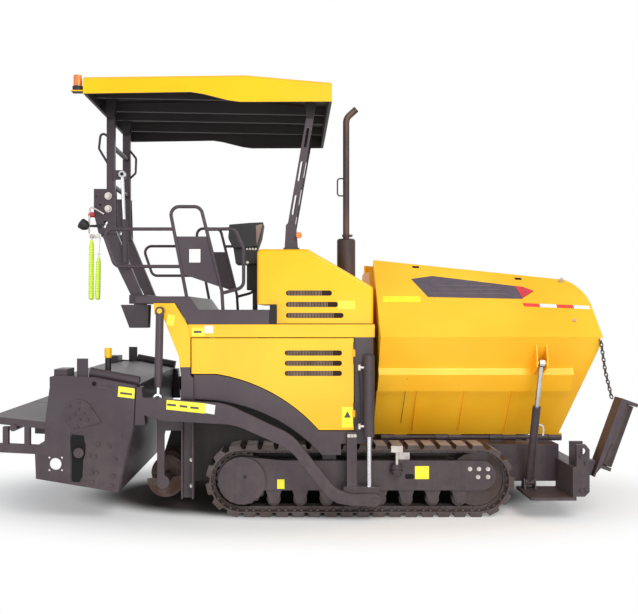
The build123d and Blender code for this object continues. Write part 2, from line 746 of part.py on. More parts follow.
for side_name, side in SIDES:
    normal = (side * sin(WING_SLOPE), -cos(WING_SLOPE))
    uphill = (side * cos(WING_SLOPE), sin(WING_SLOPE))
    with BuildPart() as wing:
        cross_plate(wing_strip(side, KNUCKLE_RADIUS + CLEAR, WING_SHEET), WING_REAR, WING_FRONT)
        cross_plate(
            wing_strip(side, KNUCKLE_RADIUS + CLEAR, 45),
            WING_FRONT - WING_SHEET,
            WING_FRONT,
        )
        cross_plate(
            [
                (side * WING_HINGE_Y, WING_HINGE_Z),
                (side * WING_FOLD_Y, WING_FOLD_Z),
                (side * WING_HINGE_Y, WING_TOP_Z),
            ],
            WING_REAR,
            WING_REAR + WING_SHEET,
        )
        # Box rib along the lower plate, with tapered edges
        low_z, high_z = WING_RIB_Z
        low = (side * wing_line(low_z), low_z)
        high = (side * wing_line(high_z), high_z)
        cross_plate(
            [
                low,
                (
                    low[0] + normal[0] * WING_RIB_DEPTH + uphill[0] * 30,
                    low[1] + normal[1] * WING_RIB_DEPTH + uphill[1] * 30,
                ),
                (
                    high[0] + normal[0] * WING_RIB_DEPTH - uphill[0] * 30,
                    high[1] + normal[1] * WING_RIB_DEPTH - uphill[1] * 30,
                ),
                high,
                (high[0] - normal[0] * 5, high[1] - normal[1] * 5),
                (low[0] - normal[0] * 5, low[1] - normal[1] * 5),
            ],
            WING_REAR,
            WING_SHOULDER_X - 15,
        )
        for x in STIFFENER_X:
            foot = (side * wing_line(700), 700)
            head = (side * wing_line(low_z + 15), low_z + 15)
            cross_plate(
                [
                    (foot[0] - normal[0] * 5, foot[1] - normal[1] * 5),
                    (foot[0] + normal[0] * 18, foot[1] + normal[1] * 18),
                    (head[0] + normal[0] * 18, head[1] + normal[1] * 18),
                    (head[0] - normal[0] * 5, head[1] - normal[1] * 5),
                ],
                x,
                x + 10,
            )
        # Cheeks that take the cylinder's head, with a stub of the pin on each
        for cheek in (-1, 1):
            inner = GUSSET_X + cheek * GUSSET_GAP / 2
            cross_plate(
                [
                    (side * (wing_line(1170) - 6), 1170),
                    (side * (WING_EYE[0] + 36), WING_EYE[1] - 30),
                    (side * (WING_EYE[0] + 40), WING_EYE[1] + 45),
                    (side * (wing_line(1500) - 6), 1500),
                ],
                inner,
                inner + cheek * GUSSET_SHEET,
            )
            bar(
                (inner + cheek * 2, side * WING_EYE[0], WING_EYE[1]),
                (inner - cheek * (GUSSET_GAP / 2 - 20 - CLEAR), side * WING_EYE[0], WING_EYE[1]),
                WING_PIN,
            )
        # Sloping top edge, round shoulder and raked lower front edge
        with BuildSketch(Plane.XZ.offset(-1400)) as outside:
            with BuildLine():
                Polyline(
                    (WING_FRONT, WING_NOSE_Z - 240),
                    (WING_FRONT + 20, WING_NOSE_Z - 240),
                    (WING_FRONT + 20, WING_TOP_Z + 20),
                    (WING_REAR - 20, WING_TOP_Z + 20),
                    (WING_REAR - 20, WING_TOP_Z),
                    (WING_REAR, WING_TOP_Z),
                    (WING_SHOULDER_X, WING_NOSE_Z),
                )
                ThreePointArc(
                    (WING_SHOULDER_X, WING_NOSE_Z),
                    (WING_SHOULDER_X + 122, WING_NOSE_Z - 95),
                    (WING_FRONT, WING_NOSE_Z - 240),
                )
            make_face()
        extrude(outside.sketch, amount=2800, mode=Mode.SUBTRACT)
        side_plate(
            [
                (WING_FRONT + 20, WING_FOLD_Z - 70),
                (WING_FRONT, WING_FOLD_Z - 70),
                (WING_FRONT - 170, WING_HINGE_Z - 10),
                (WING_FRONT + 20, WING_HINGE_Z - 10),
            ],
            -1400,
            1400,
            Mode.SUBTRACT,
        )
        for x in TUB_KNUCKLES:
            low_x = x + KNUCKLE_LENGTH + 2
            span = (low_x, low_x + KNUCKLE_LENGTH)
            foot = (side * WING_HINGE_Y + uphill[0] * 20, WING_HINGE_Z + uphill[1] * 20)
            head = (side * WING_HINGE_Y + uphill[0] * 45, WING_HINGE_Z + uphill[1] * 45)
            cross_plate(
                [
                    foot,
                    head,
                    (head[0] - normal[0] * WING_SHEET, head[1] - normal[1] * WING_SHEET),
                    (foot[0] - normal[0] * WING_SHEET, foot[1] - normal[1] * WING_SHEET),
                ],
                *span,
            )
            bar(
                (span[0], side * WING_HINGE_Y, WING_HINGE_Z),
                (span[1], side * WING_HINGE_Y, WING_HINGE_Z),
                KNUCKLE_RADIUS,
            )
            bar(
                (span[0] - 1, side * WING_HINGE_Y, WING_HINGE_Z),
                (span[1] + 1, side * WING_HINGE_Y, WING_HINGE_Z),
                WING_PIN_RADIUS + PIN_GAP,
                Mode.SUBTRACT,
            )
    save(wing, f"hopper_wing_{side_name}")

    base = (GUSSET_X, side * WING_BARREL_BASE[0], WING_BARREL_BASE[1])
    head = (GUSSET_X, side * WING_EYE[0], WING_EYE[1])
    with BuildPart() as wing_barrel:
        barrel(base, head, (1, 0, 0), WING_BARREL, 35, 21, 20, 72)
    save(wing_barrel, f"wing_barrel_{side_name}")
    with BuildPart() as wing_rod:
        rod(base, head, (1, 0, 0), WING_ROD, 21, 20, 40)
    save(wing_rod, f"wing_rod_{side_name}")

# ---------------------------------------------------------------- body sides
PANEL_INNER = PANEL_Y - PANEL
PILLAR_REAR = -1147.0
PILLAR_FRONT = -1040.0
PILLAR_INNER = 1000.0
PILLAR_OUTER = 1085.0
PILLAR_BOTTOM = 167.0
PILLAR_TOP = 1299.0
BULKHEAD = 16.0
DOOR_TOP = BAND_BOTTOM - DOOR_GAP
HINGE_X = DOOR_FRONT + DOOR_GAP / 2
HINGE_Y = PANEL_Y + HINGE_PIN_RADIUS
HINGE_ZS = (900.0, 1420.0)
HINGE_LENGTH = 60.0
LIFT_PIN = 22.0

with BuildPart() as bulkheads:
    block(
        (CHASSIS_FRONT - 40, CHASSIS_FRONT - 40 + BULKHEAD),
        (-PANEL_INNER, PANEL_INNER),
        (CHASSIS_TOP, BAND_TOP - 14),
    )
    block(
        (CHASSIS_REAR + 8, CHASSIS_REAR + 8 + BULKHEAD),
        (-PILLAR_INNER, PILLAR_INNER),
        (CHASSIS_TOP, DECK_HIGH_Z - DECK_PLATE - 25),
    )
save(bulkheads, "bulkheads")

with BuildPart() as engine:
    block((-640, 430), (-430, 430), (CHASSIS_TOP, ENGINE_TOP - 160))
    block((-520, 200), (-240, 240), (ENGINE_TOP - 160, ENGINE_TOP))
    block((200, 430), (-560, 430), (ENGINE_TOP - 160, ENGINE_TOP))
    cross_bar(-560, 1240, 430, 520, 150)
save(engine, "engine")

with BuildPart() as side_frames:
    for side in (-1, 1):
        inner, outer = side * PANEL_INNER, side * PANEL_Y
        block((BAND_REAR, BAND_FRONT), (inner, outer), (BAND_BOTTOM, BAND_TOP))
        block(
            (HOOD_STEP_X, BAND_FRONT),
            (side * (HOOD_HALF_WIDTH - 30), inner),
            (BAND_TOP - 14, BAND_TOP),
        )
        # Bracket that carries the screed lift cylinder
        side_plate(
            [
                (LIFT_TOP[0] - 62, DECK_HIGH_Z - DECK_PLATE),
                (LIFT_TOP[0] + 119, DECK_HIGH_Z - DECK_PLATE),
                (BAND_REAR, BAND_TOP - 9),
                (DOOR_REAR - DOOR_GAP, BAND_BOTTOM),
                (DOOR_REAR - DOOR_GAP, PILLAR_TOP),
                (PILLAR_REAR - 11, PILLAR_TOP),
                (PILLAR_REAR - 18, PILLAR_TOP + 86),
                (LIFT_TOP[0] + 19, LIFT_TOP[1] - 47),
                (LIFT_TOP[0] - 52, LIFT_TOP[1] - 31),
            ],
            inner,
            side * (PILLAR_OUTER - 3),
        )
        cross_bar(LIFT_TOP[0], LIFT_TOP[1], side * (PILLAR_OUTER - 5), side * (LIFT_Y + 32), LIFT_PIN)
save(side_frames, "side_frames")

with BuildPart() as rear_pillars:
    for side in (-1, 1):
        side_plate(
            [
                (PILLAR_REAR - 11, PILLAR_TOP),
                (DOOR_REAR - DOOR_GAP, PILLAR_TOP),
                (DOOR_REAR - DOOR_GAP, DOOR_STEP_Z - DOOR_GAP),
                (PILLAR_FRONT, DOOR_STEP_Z - 40),
                (PILLAR_FRONT, PILLAR_BOTTOM),
                (PILLAR_REAR, PILLAR_BOTTOM),
                (PILLAR_REAR, DOOR_STEP_Z - 40),
            ],
            side * PILLAR_INNER,
            side * PILLAR_OUTER,
        )
        block(
            (PILLAR_REAR + 14, PILLAR_FRONT - 14),
            (side * (PILLAR_INNER + 14), side * (PILLAR_OUTER + 5)),
            (PILLAR_BOTTOM - 5, DOOR_STEP_Z - 220),
            Mode.SUBTRACT,
        )
        block(
            (CHASSIS_REAR, PILLAR_FRONT),
            (side * CHASSIS_HALF_WIDTH, side * PILLAR_INNER),
            (870, 970),
        )
        # Hanger of the auger's outer bearing
        inner, outer = side * (AUGER_OUTER_Y + 7), side * (AUGER_OUTER_Y + 27)
        block((AUGER_X - 51, PILLAR_REAR + 10), (inner, outer), (745, 845))
        block((AUGER_X - 51, AUGER_X + 14), (inner, outer), (AUGER_Z, 745))
        cross_bar(AUGER_X, AUGER_Z, inner, outer, 58)
save(rear_pillars, "rear_pillars")

# Fender plates below the door arches, their mudguards, and the dark posts ahead of the doors
with BuildPart() as fenders:
    for side in (-1, 1):
        inner, outer = side * PANEL_INNER, side * PANEL_Y
        with BuildSketch(Plane.XZ.offset(-max(inner, outer))) as outline:
            with BuildLine():
                Polyline((PILLAR_FRONT, 1022), (PILLAR_FRONT, DOOR_STEP_Z - DOOR_GAP))
                Polyline((PILLAR_FRONT, DOOR_STEP_Z - DOOR_GAP), (-848, DOOR_STEP_Z - DOOR_GAP))
                ThreePointArc(
                    (-848, DOOR_STEP_Z - DOOR_GAP),
                    (-395, 1093 - DOOR_GAP),
                    (35, DOOR_BOTTOM - DOOR_GAP),
                )
                Polyline(
                    (35, DOOR_BOTTOM - DOOR_GAP),
                    (DOOR_FRONT + DOOR_GAP, DOOR_BOTTOM - DOOR_GAP),
                    (DOOR_FRONT + DOOR_GAP, BAND_BOTTOM),
                    (POST_FRONT, BAND_BOTTOM),
                    (POST_FRONT, 640),
                    (FENDER_FRONT, 640),
                    (FENDER_FRONT, FENDER_BOTTOM),
                    (60, FENDER_BOTTOM),
                )
                ThreePointArc((60, FENDER_BOTTOM), (-330, 850), (PILLAR_FRONT, 1022))
            make_face()
        extrude(outline.sketch, amount=PANEL)
        with BuildSketch(Plane.XZ.offset(-max(side * CHASSIS_HALF_WIDTH, inner))) as guard:
            with BuildLine():
                ThreePointArc((-60, 672), (-360, 872), (PILLAR_FRONT, 1022))
                Line((PILLAR_FRONT, 1022), (PILLAR_FRONT, 1040))
                ThreePointArc((PILLAR_FRONT, 1040), (-350, 890), (-45, 685))
                Line((-45, 685), (-60, 672))
            make_face()
        extrude(guard.sketch, amount=PANEL_INNER - CHASSIS_HALF_WIDTH)
        block(
            (POST_FRONT - 36, POST_FRONT),
            (side * CHASSIS_HALF_WIDTH, inner),
            (CHASSIS_TOP - 80, CHASSIS_TOP),
        )
        for z in HINGE_ZS:
            for low in (z - HINGE_LENGTH * 1.5 - 2, z + HINGE_LENGTH / 2 + 2):
                bar((HINGE_X, side * HINGE_Y, low), (HINGE_X, side * HINGE_Y, low + HINGE_LENGTH), 9)
                block(
                    (HINGE_X, HINGE_X + 16),
                    (outer, side * (HINGE_Y + 3)),
                    (low, low + HINGE_LENGTH),
                )
            bar(
                (HINGE_X, side * HINGE_Y, z - HINGE_LENGTH * 1.4),
                (HINGE_X, side * HINGE_Y, z + HINGE_LENGTH * 1.4),
                4.5,
            )
        # Guide rail of the tow point
        block(
            (GUIDE_REAR, GUIDE_FRONT),
            (outer, side * (PANEL_Y + GUIDE_DEPTH)),
            (GUIDE_BOTTOM, GUIDE_TOP),
        )
save(fenders, "fenders")

for side_name, side in SIDES:
    inner, outer = side * PANEL_INNER, side * PANEL_Y
    with BuildPart() as door:
        with BuildSketch(Plane.XZ.offset(-max(inner, outer))) as outline:
            with BuildLine():
                Polyline(
                    (-848, DOOR_STEP_Z),
                    (DOOR_REAR, DOOR_STEP_Z),
                    (DOOR_REAR, DOOR_TOP),
                    (DOOR_FRONT, DOOR_TOP),
                    (DOOR_FRONT, DOOR_BOTTOM),
                    (35, DOOR_BOTTOM),
                )
                ThreePointArc((35, DOOR_BOTTOM), (-395, 1093), (-848, DOOR_STEP_Z))
            make_face()
            for z in (1420, 1332, 1245):
                with Locations(((-259 + 234) / 2, z)):
                    SlotOverall(493, LOUVRE_HEIGHT, mode=Mode.SUBTRACT)
        extrude(outline.sketch, amount=PANEL)
        for z in HINGE_ZS:
            low, high = z - HINGE_LENGTH / 2, z + HINGE_LENGTH / 2
            bar((HINGE_X, side * HINGE_Y, low), (HINGE_X, side * HINGE_Y, high), 9)
            block((HINGE_X - 16, HINGE_X), (outer, side * (HINGE_Y + 3)), (low, high))
            bar(
                (HINGE_X, side * HINGE_Y, low - 1),
                (HINGE_X, side * HINGE_Y, high + 1),
                4.5 + PIN_GAP,
                Mode.SUBTRACT,
            )
    save(door, f"door_{side_name}")

with BuildPart() as level_barrels:
    for side in (-1, 1):
        bar(
            (LEVEL_X, side * LEVEL_Y, LEVEL_BARREL_BOTTOM),
            (LEVEL_X, side * LEVEL_Y, LEVEL_TOP),
            46,
        )
        bar(
            (LEVEL_X, side * LEVEL_Y, LEVEL_BARREL_BOTTOM - 1),
            (LEVEL_X, side * LEVEL_Y, LEVEL_TOP - 90),
            22 + RUNNING_GAP,
            Mode.SUBTRACT,
        )
        for z in (800, LEVEL_TOP - 70):
            block(
                (LEVEL_X - 38, LEVEL_X + 38),
                (side * PANEL_Y, side * (LEVEL_Y - 30)),
                (z, z + 50),
            )
save(level_barrels, "level_barrels")

# ---------------------------------------------------------------- hood
with BuildPart() as hood:
    HOOD_OUTLINE = [
        (HOOD_STEP_X, BAND_TOP),
        (HOOD_STEP_X, HOOD_STEP_Z),
        (HOOD_REAR, HOOD_STEP_Z),
        (HOOD_REAR, HOOD_TOP),
        (HOOD_CREST_X, HOOD_TOP),
        (HOOD_FRONT, HOOD_NOSE_Z),
        (HOOD_FRONT, BAND_TOP),
    ]
    side_plate(HOOD_OUTLINE, -HOOD_HALF_WIDTH, HOOD_HALF_WIDTH)
    corners = hood.edges().filter_by(Axis.Y).filter_by(lambda e: e.center().Z > 1900)
    fillet(corners, 40)
    brims = [
        edge
        for edge in hood.edges()
        if abs(abs(edge.center().Y) - HOOD_HALF_WIDTH) < 1 and edge.center().Z > 2000
    ]
    fillet(brims, 30)
    side_plate(
        [
            (HOOD_STEP_X + HOOD_WALL, BAND_TOP - 1),
            (HOOD_STEP_X + HOOD_WALL, HOOD_STEP_Z + HOOD_WALL),
            (HOOD_REAR + HOOD_WALL, HOOD_STEP_Z + HOOD_WALL),
            (HOOD_REAR + HOOD_WALL, HOOD_TOP - 45),
            (HOOD_CREST_X - 20, HOOD_TOP - 45),
            (HOOD_FRONT - HOOD_WALL, HOOD_NOSE_Z - 45),
            (HOOD_FRONT - HOOD_WALL, BAND_TOP - 1),
        ],
        -HOOD_HALF_WIDTH + HOOD_WALL,
        HOOD_HALF_WIDTH - HOOD_WALL,
        Mode.SUBTRACT,
    )
    bar(
        (EXHAUST_X, EXHAUST_Y, BAND_TOP),
        (EXHAUST_X, EXHAUST_Y, HOOD_TOP + 50),
        MUFFLER_RADIUS + CLEAR,
        Mode.SUBTRACT,
    )
    with BuildSketch(Plane.XZ.offset(-HOOD_HALF_WIDTH - 5)) as louvres:
        for z, front in ((1937, 150), (1838, 202), (1743, 251)):
            with Locations(((-249 + front) / 2, z)):
                SlotOverall(front + 249, LOUVRE_HEIGHT)
    extrude(louvres.sketch, amount=2 * HOOD_HALF_WIDTH + 10, mode=Mode.SUBTRACT)
save(hood, "hood")

# ---------------------------------------------------------------- deck
SKIRT = 14.0
DECK_HALF_WIDTH = PANEL_Y - SKIRT
RAIL_Y = DECK_HALF_WIDTH - 1 - RAIL_RADIUS
with BuildPart() as operator_deck:
    side_plate(
        [
            (DECK_REAR, DECK_HIGH_Z - DECK_PLATE),
            (DECK_REAR, DECK_HIGH_Z),
            (DECK_STEP_X, DECK_HIGH_Z),
            (DECK_LOW_X, DECK_LOW_Z),
            (HOOD_REAR, DECK_LOW_Z),
            (HOOD_REAR, DECK_LOW_Z - DECK_PLATE),
            (DECK_LOW_X - 30, DECK_LOW_Z - DECK_PLATE),
            (DECK_STEP_X - 30, DECK_HIGH_Z - DECK_PLATE),
        ],
        -DECK_HALF_WIDTH,
        DECK_HALF_WIDTH,
    )
    block(
        (TAIL_REAR, DECK_REAR),
        (-TAIL_HALF_WIDTH, TAIL_HALF_WIDTH),
        (DECK_HIGH_Z - DECK_PLATE, DECK_HIGH_Z + 22),
    )
    for side in (-1, 1):
        block(
            (DECK_STEP_X - 60, DECK_STEP_X + 10),
            (side * (RAIL_Y - RAIL_RADIUS - 4), side * (DECK_HALF_WIDTH + 1)),
            (DECK_HIGH_Z - RAIL_SEAT, DECK_HIGH_Z + 1),
            Mode.SUBTRACT,
        )
    # Control box beside the tail
    side_plate(
        [
            (DECK_REAR - 220, DECK_HIGH_Z - 70),
            (DECK_REAR + 38, DECK_HIGH_Z - 70),
            (DECK_REAR + 30, DECK_HIGH_Z - 281),
            (DECK_REAR - 140, DECK_HIGH_Z - 281),
        ],
        -TAIL_HALF_WIDTH - 120,
        -TAIL_HALF_WIDTH + 20,
    )
    block(
        (DECK_REAR - 120, DECK_REAR),
        (-TAIL_HALF_WIDTH, -TAIL_HALF_WIDTH + 20),
        (DECK_HIGH_Z - 75, DECK_HIGH_Z - DECK_PLATE + 10),
    )
    block(
        (CHASSIS_REAR, DECK_STEP_X - 30),
        (-PILLAR_INNER, PILLAR_INNER),
        (DECK_HIGH_Z - DECK_PLATE - 25, DECK_HIGH_Z - DECK_PLATE),
    )
save(operator_deck, "operator_deck")

with BuildPart() as deck_skirts:
    for y in (-1, 1):
        side_plate(
            [
                (DECK_REAR, DECK_HIGH_Z - DECK_PLATE),
                (DECK_REAR, DECK_HIGH_Z),
                (DECK_STEP_X, DECK_HIGH_Z),
                (DECK_LOW_X, DECK_LOW_Z),
                (DECK_FRONT, DECK_LOW_Z),
                (DECK_FRONT, BAND_TOP),
                (BAND_REAR, BAND_TOP),
                (-1204, DECK_HIGH_Z - DECK_PLATE),
            ],
            y * DECK_HALF_WIDTH,
            y * PANEL_Y,
        )
save(deck_skirts, "deck_skirts")

CONSOLE_Y = -500.0
with BuildPart() as console:
    side_plate(
        [
            (-769, 2429),
            (-763, 2560),
            (-575, 2576),
            (-456, 2581),
            (-477, 2453),
            (-510, 2363),
            (-728, 2348),
        ],
        CONSOLE_Y - 200,
        CONSOLE_Y + 200,
    )
    side_plate(
        [(-728, 2348), (-510, 2363), (-507, 2208), (-706, 2208)],
        CONSOLE_Y - 160,
        CONSOLE_Y + 160,
    )
    block((-611, -507), (CONSOLE_Y - 75, CONSOLE_Y + 75), (1972, 2208))
    block((-560, -515), (CONSOLE_Y - 30, CONSOLE_Y + 30), (DECK_LOW_Z, 1972))
save(console, "console")

with BuildPart() as railings:
    for side in (-1, 1):
        y = side * RAIL_Y
        gate = [(-1108, 1780), (-1108, 1915), (-1255, 2682), (-985, 2682), (-802, 1953), (-787, 1700)]
        bent_tube([(x, y, z) for x, z in gate], RAIL_BEND, RAIL_RADIUS)
        rear_loop = [(-1218, 2489), (-1835, 2489), (-1725, 2166), (-1156, 2166)]
        bent_tube([(x, y, z) for x, z in rear_loop], RAIL_BEND, RAIL_RADIUS)
        front_loop = [(-936, 2486), (-690, 2492), (-614, 2320), (-614, 1985), (-800, 1935)]
        bent_tube([(x, y, z) for x, z in front_loop], RAIL_BEND, RAIL_RADIUS)
        side_plate(
            [(-1206, 2425), (-921, 2425), (-812, 1987), (-1149, 2103)],
            y - 3,
            y + 3,
        )
        # The gate's feet stand flat, the rear one in its seat in the deck
        span = (y - RAIL_RADIUS - 1, y + RAIL_RADIUS + 1)
        seat = DECK_HIGH_Z - RAIL_SEAT
        block((DECK_STEP_X - 60, DECK_STEP_X), span, (DECK_LOW_Z - 100, seat), Mode.SUBTRACT)
        block((DECK_LOW_X, DECK_FRONT), span, (DECK_LOW_Z - 100, DECK_LOW_Z), Mode.SUBTRACT)
save(railings, "railings")

# ---------------------------------------------------------------- canopy
CHEEK_GAP = MAST_WIDTH / 2 + CLEAR
MAST_PIN = 20.0
HEAD_PIN = 16.0
CANOPY_CYLINDER_Y = -MAST_Y - 75.0
MAST_BASE_HOLES = ((-2015, 2846, 10), (-1981, 2768, 10), (-1945, 2572, 20), (-1932, 2602, 20))
with BuildPart() as mast_base:
    for side in (-1, 1):
        y = side * MAST_Y
        side_plate(
            [
                (-1985, 2520),
                (-1960, 2600),
                (-1850, 2600),
                (-1835, 2520),
                (-1592, DECK_HIGH_Z + 22),
                (-1700, DECK_HIGH_Z + 22),
            ],
            y - CHEEK_GAP,
            y + CHEEK_GAP,
        )
        for edge in (-1, 1):
            side_plate(
                [
                    (-1995, 2500),
                    (-2040, 2680),
                    (-2040, 2917),
                    (-1845, 2917),
                    (-1832, 2500),
                ],
                y + edge * CHEEK_GAP,
                y + edge * (CHEEK_GAP + 16),
            )
        cross_bar(*MAST_PIVOT, y - CHEEK_GAP - 20, y + CHEEK_GAP + 20, MAST_PIN)
        for x, z, radius in MAST_BASE_HOLES:
            cross_bar(x, z, y - 60, y + 60, radius, Mode.SUBTRACT)
    cross_bar(
        *CANOPY_CYLINDER_BASE, -MAST_Y - CHEEK_GAP + 2, CANOPY_CYLINDER_Y - 24, 16
    )
save(mast_base, "mast_base")

with BuildPart() as masts:
    for side in (-1, 1):
        y = side * MAST_Y
        block(
            (MAST_PIVOT[0] - MAST_DEPTH / 2, MAST_PIVOT[0] + MAST_DEPTH / 2),
            (y - MAST_WIDTH / 2, y + MAST_WIDTH / 2),
            (MAST_PIVOT[1], MAST_HEAD[1]),
        )
        for pivot in (MAST_PIVOT, MAST_HEAD):
            cross_bar(*pivot, y - MAST_WIDTH / 2, y + MAST_WIDTH / 2, MAST_DEPTH / 2)
        handle = (
            [(-1920, 3415), (-1985, 3458), (-2003, 3300), (-1920, 3160)]
            if side < 0
            else [(-1856, 3420), (-1793, 3340), (-1798, 3190), (-1856, 3135)]
        )
        bent_tube([(x, y, z) for x, z in handle], 30, 11)
        cross_bar(*MAST_PIVOT, y - 60, y + 60, MAST_PIN + PIN_GAP, Mode.SUBTRACT)
        cross_bar(*MAST_HEAD, y - 60, y + 60, HEAD_PIN + PIN_GAP, Mode.SUBTRACT)
    for z in (2960, 3330):
        cross_bar(MAST_PIVOT[0], z, -MAST_Y, MAST_Y, 24)
    # Plate of the folding cylinder's eye, on the right mast
    side_plate(
        [(-1860, 3002), (-1745, 3012), (-1735, 3070), (-1760, 3091), (-1860, 3091)],
        -MAST_Y - MAST_WIDTH / 2 + 10,
        -MAST_Y - MAST_WIDTH / 2 - 22,
    )
save(masts, "masts")

ROOF_LINE = ((ROOF_REAR, 3786.0), (-599.0, 3803.0), (ROOF_FRONT, 3737.0))
EAVE_LINE = (
    (ROOF_FRONT, 3574.0),
    (-640.0, 3572.0),
    (-740.0, 3585.0),
    (-850.0, 3612.0),
    (-960.0, 3640.0),
    (-1064.0, 3656.0),
    (ROOF_REAR, 3642.0),
)
FASCIA = 26.0
BEACON = (ROOF_REAR - 55, -1050.0)
BEACON_SHELF = 3674.0
with BuildPart() as canopy_roof:
    side_plate([*ROOF_LINE, *EAVE_LINE], -ROOF_HALF_WIDTH, ROOF_HALF_WIDTH)
    ridge = [
        edge
        for edge in canopy_roof.edges()
        if abs(abs(edge.center().Y) - ROOF_HALF_WIDTH) < 1 and edge.center().Z > 3740
    ]
    chamfer(ridge, 18)
    side_plate(
        [
            (ROOF_REAR + FASCIA, 3500),
            (ROOF_REAR + FASCIA, ROOF_LINE[0][1] - ROOF_SKIN),
            (ROOF_LINE[1][0], ROOF_LINE[1][1] - ROOF_SKIN),
            (ROOF_FRONT - FASCIA, ROOF_LINE[2][1] - ROOF_SKIN),
            (ROOF_FRONT - FASCIA, 3500),
        ],
        -ROOF_HALF_WIDTH + FASCIA,
        ROOF_HALF_WIDTH - FASCIA,
        Mode.SUBTRACT,
    )
    for y in (-740, -200, 200, 740):
        side_plate(
            [
                (ROOF_REAR + 10, 3690),
                (ROOF_REAR + 10, ROOF_LINE[0][1] - 10),
                (ROOF_LINE[1][0], ROOF_LINE[1][1] - 10),
                (ROOF_FRONT - 10, ROOF_LINE[2][1] - 10),
                (ROOF_FRONT - 10, 3650),
            ],
            y - 20,
            y + 20,
        )
    for side in (-1, 1):
        for edge in (-1, 1):
            inner = side * MAST_Y + edge * CHEEK_GAP
            side_plate(
                [
                    (MAST_HEAD[0] - 50, 3775),
                    (MAST_HEAD[0] + 60, 3775),
                    (MAST_HEAD[0] + 28, MAST_HEAD[1] - 24),
                    (MAST_HEAD[0] - 28, MAST_HEAD[1] - 24),
                ],
                inner,
                inner + edge * 12,
            )
        y = side * MAST_Y
        cross_bar(*MAST_HEAD, y - CHEEK_GAP - 14, y + CHEEK_GAP + 14, HEAD_PIN)
        inner = side * (STRUT_Y + STRUT_WIDTH / 2 + CLEAR)
        side_plate(
            [
                (STRUT_HEAD[0] - 70, 3740),
                (STRUT_HEAD[0] + 70, 3735),
                (STRUT_HEAD[0] + 30, STRUT_HEAD[1] - 26),
                (STRUT_HEAD[0] - 30, STRUT_HEAD[1] - 26),
            ],
            inner,
            inner + side * 12,
        )
    # Shelf of the beacon at the rear right corner
    block(
        (BEACON[0] - 50, ROOF_REAR + 5),
        (BEACON[1] - 45, BEACON[1] + 45),
        (BEACON_SHELF - 10, BEACON_SHELF),
    )
save(canopy_roof, "canopy_roof")

with BuildPart() as beacon:
    bar((*BEACON, BEACON_SHELF), (*BEACON, BEACON_SHELF + 41), 46)
    bar((*BEACON, BEACON_SHELF + 41), (*BEACON, BEACON_SHELF + 135), 38)
save(beacon, "beacon")

STRUT_LINE = Vector(STRUT_HEAD[0] - STRUT_BASE[0], STRUT_HEAD[1] - STRUT_BASE[1])
STRUT_TURN = degrees(atan2(STRUT_LINE.Y, STRUT_LINE.X))
with BuildPart() as canopy_struts:
    for side in (-1, 1):
        with BuildSketch(Plane.XZ.offset(-side * STRUT_Y - STRUT_WIDTH / 2)) as outline:
            with Locations(
                Location(
                    (
                        (STRUT_HEAD[0] + STRUT_BASE[0]) / 2,
                        (STRUT_HEAD[1] + STRUT_BASE[1]) / 2,
                    ),
                    STRUT_TURN,
                )
            ):
                SlotCenterToCenter(STRUT_LINE.length, STRUT_DEPTH)
                with Locations((-STRUT_LINE.length / 2 + 200, 0), (0, 0), (STRUT_LINE.length / 2 - 200, 0)):
                    SlotOverall(180, 26, mode=Mode.SUBTRACT)
            with Locations(STRUT_BASE):
                Circle(HEAD_PIN + PIN_GAP, mode=Mode.SUBTRACT)
            with Locations(STRUT_HEAD):
                Circle(HEAD_PIN, mode=Mode.SUBTRACT)
        extrude(outline.sketch, amount=STRUT_WIDTH)
save(canopy_struts, "canopy_struts")

with BuildPart() as strut_brackets:
    for side in (-1, 1):
        y = side * STRUT_Y
        block((-272, -134), (y - 60, y + 60), (HOOD_TOP, HOOD_TOP + 14))
        for edge in (-1, 1):
            inner = y + edge * (STRUT_WIDTH / 2 + CLEAR)
            side_plate(
                [
                    (-262, HOOD_TOP + 10),
                    (-250, STRUT_BASE[1] + 20),
                    (-232, STRUT_BASE[1] + 36),
                    (-175, STRUT_BASE[1] + 36),
                    (-160, STRUT_BASE[1] + 20),
                    (-144, HOOD_TOP + 10),
                ],
                inner,
                inner + edge * 12,
            )
        cross_bar(*STRUT_BASE, y - STRUT_WIDTH / 2 - 22, y + STRUT_WIDTH / 2 + 22, HEAD_PIN)
save(strut_brackets, "strut_brackets")

base = (CANOPY_CYLINDER_BASE[0], CANOPY_CYLINDER_Y, CANOPY_CYLINDER_BASE[1])
head = (CANOPY_CYLINDER_EYE[0], CANOPY_CYLINDER_Y, CANOPY_CYLINDER_EYE[1])
with BuildPart() as canopy_barrels:
    barrel(base, head, (0, 1, 0), 430, 28, 15, 16, 36)
save(canopy_barrels, "canopy_barrels")
with BuildPart() as canopy_rods:
    rod(base, head, (0, 1, 0), 449, 15, 16, 36)
save(canopy_rods, "canopy_rods")

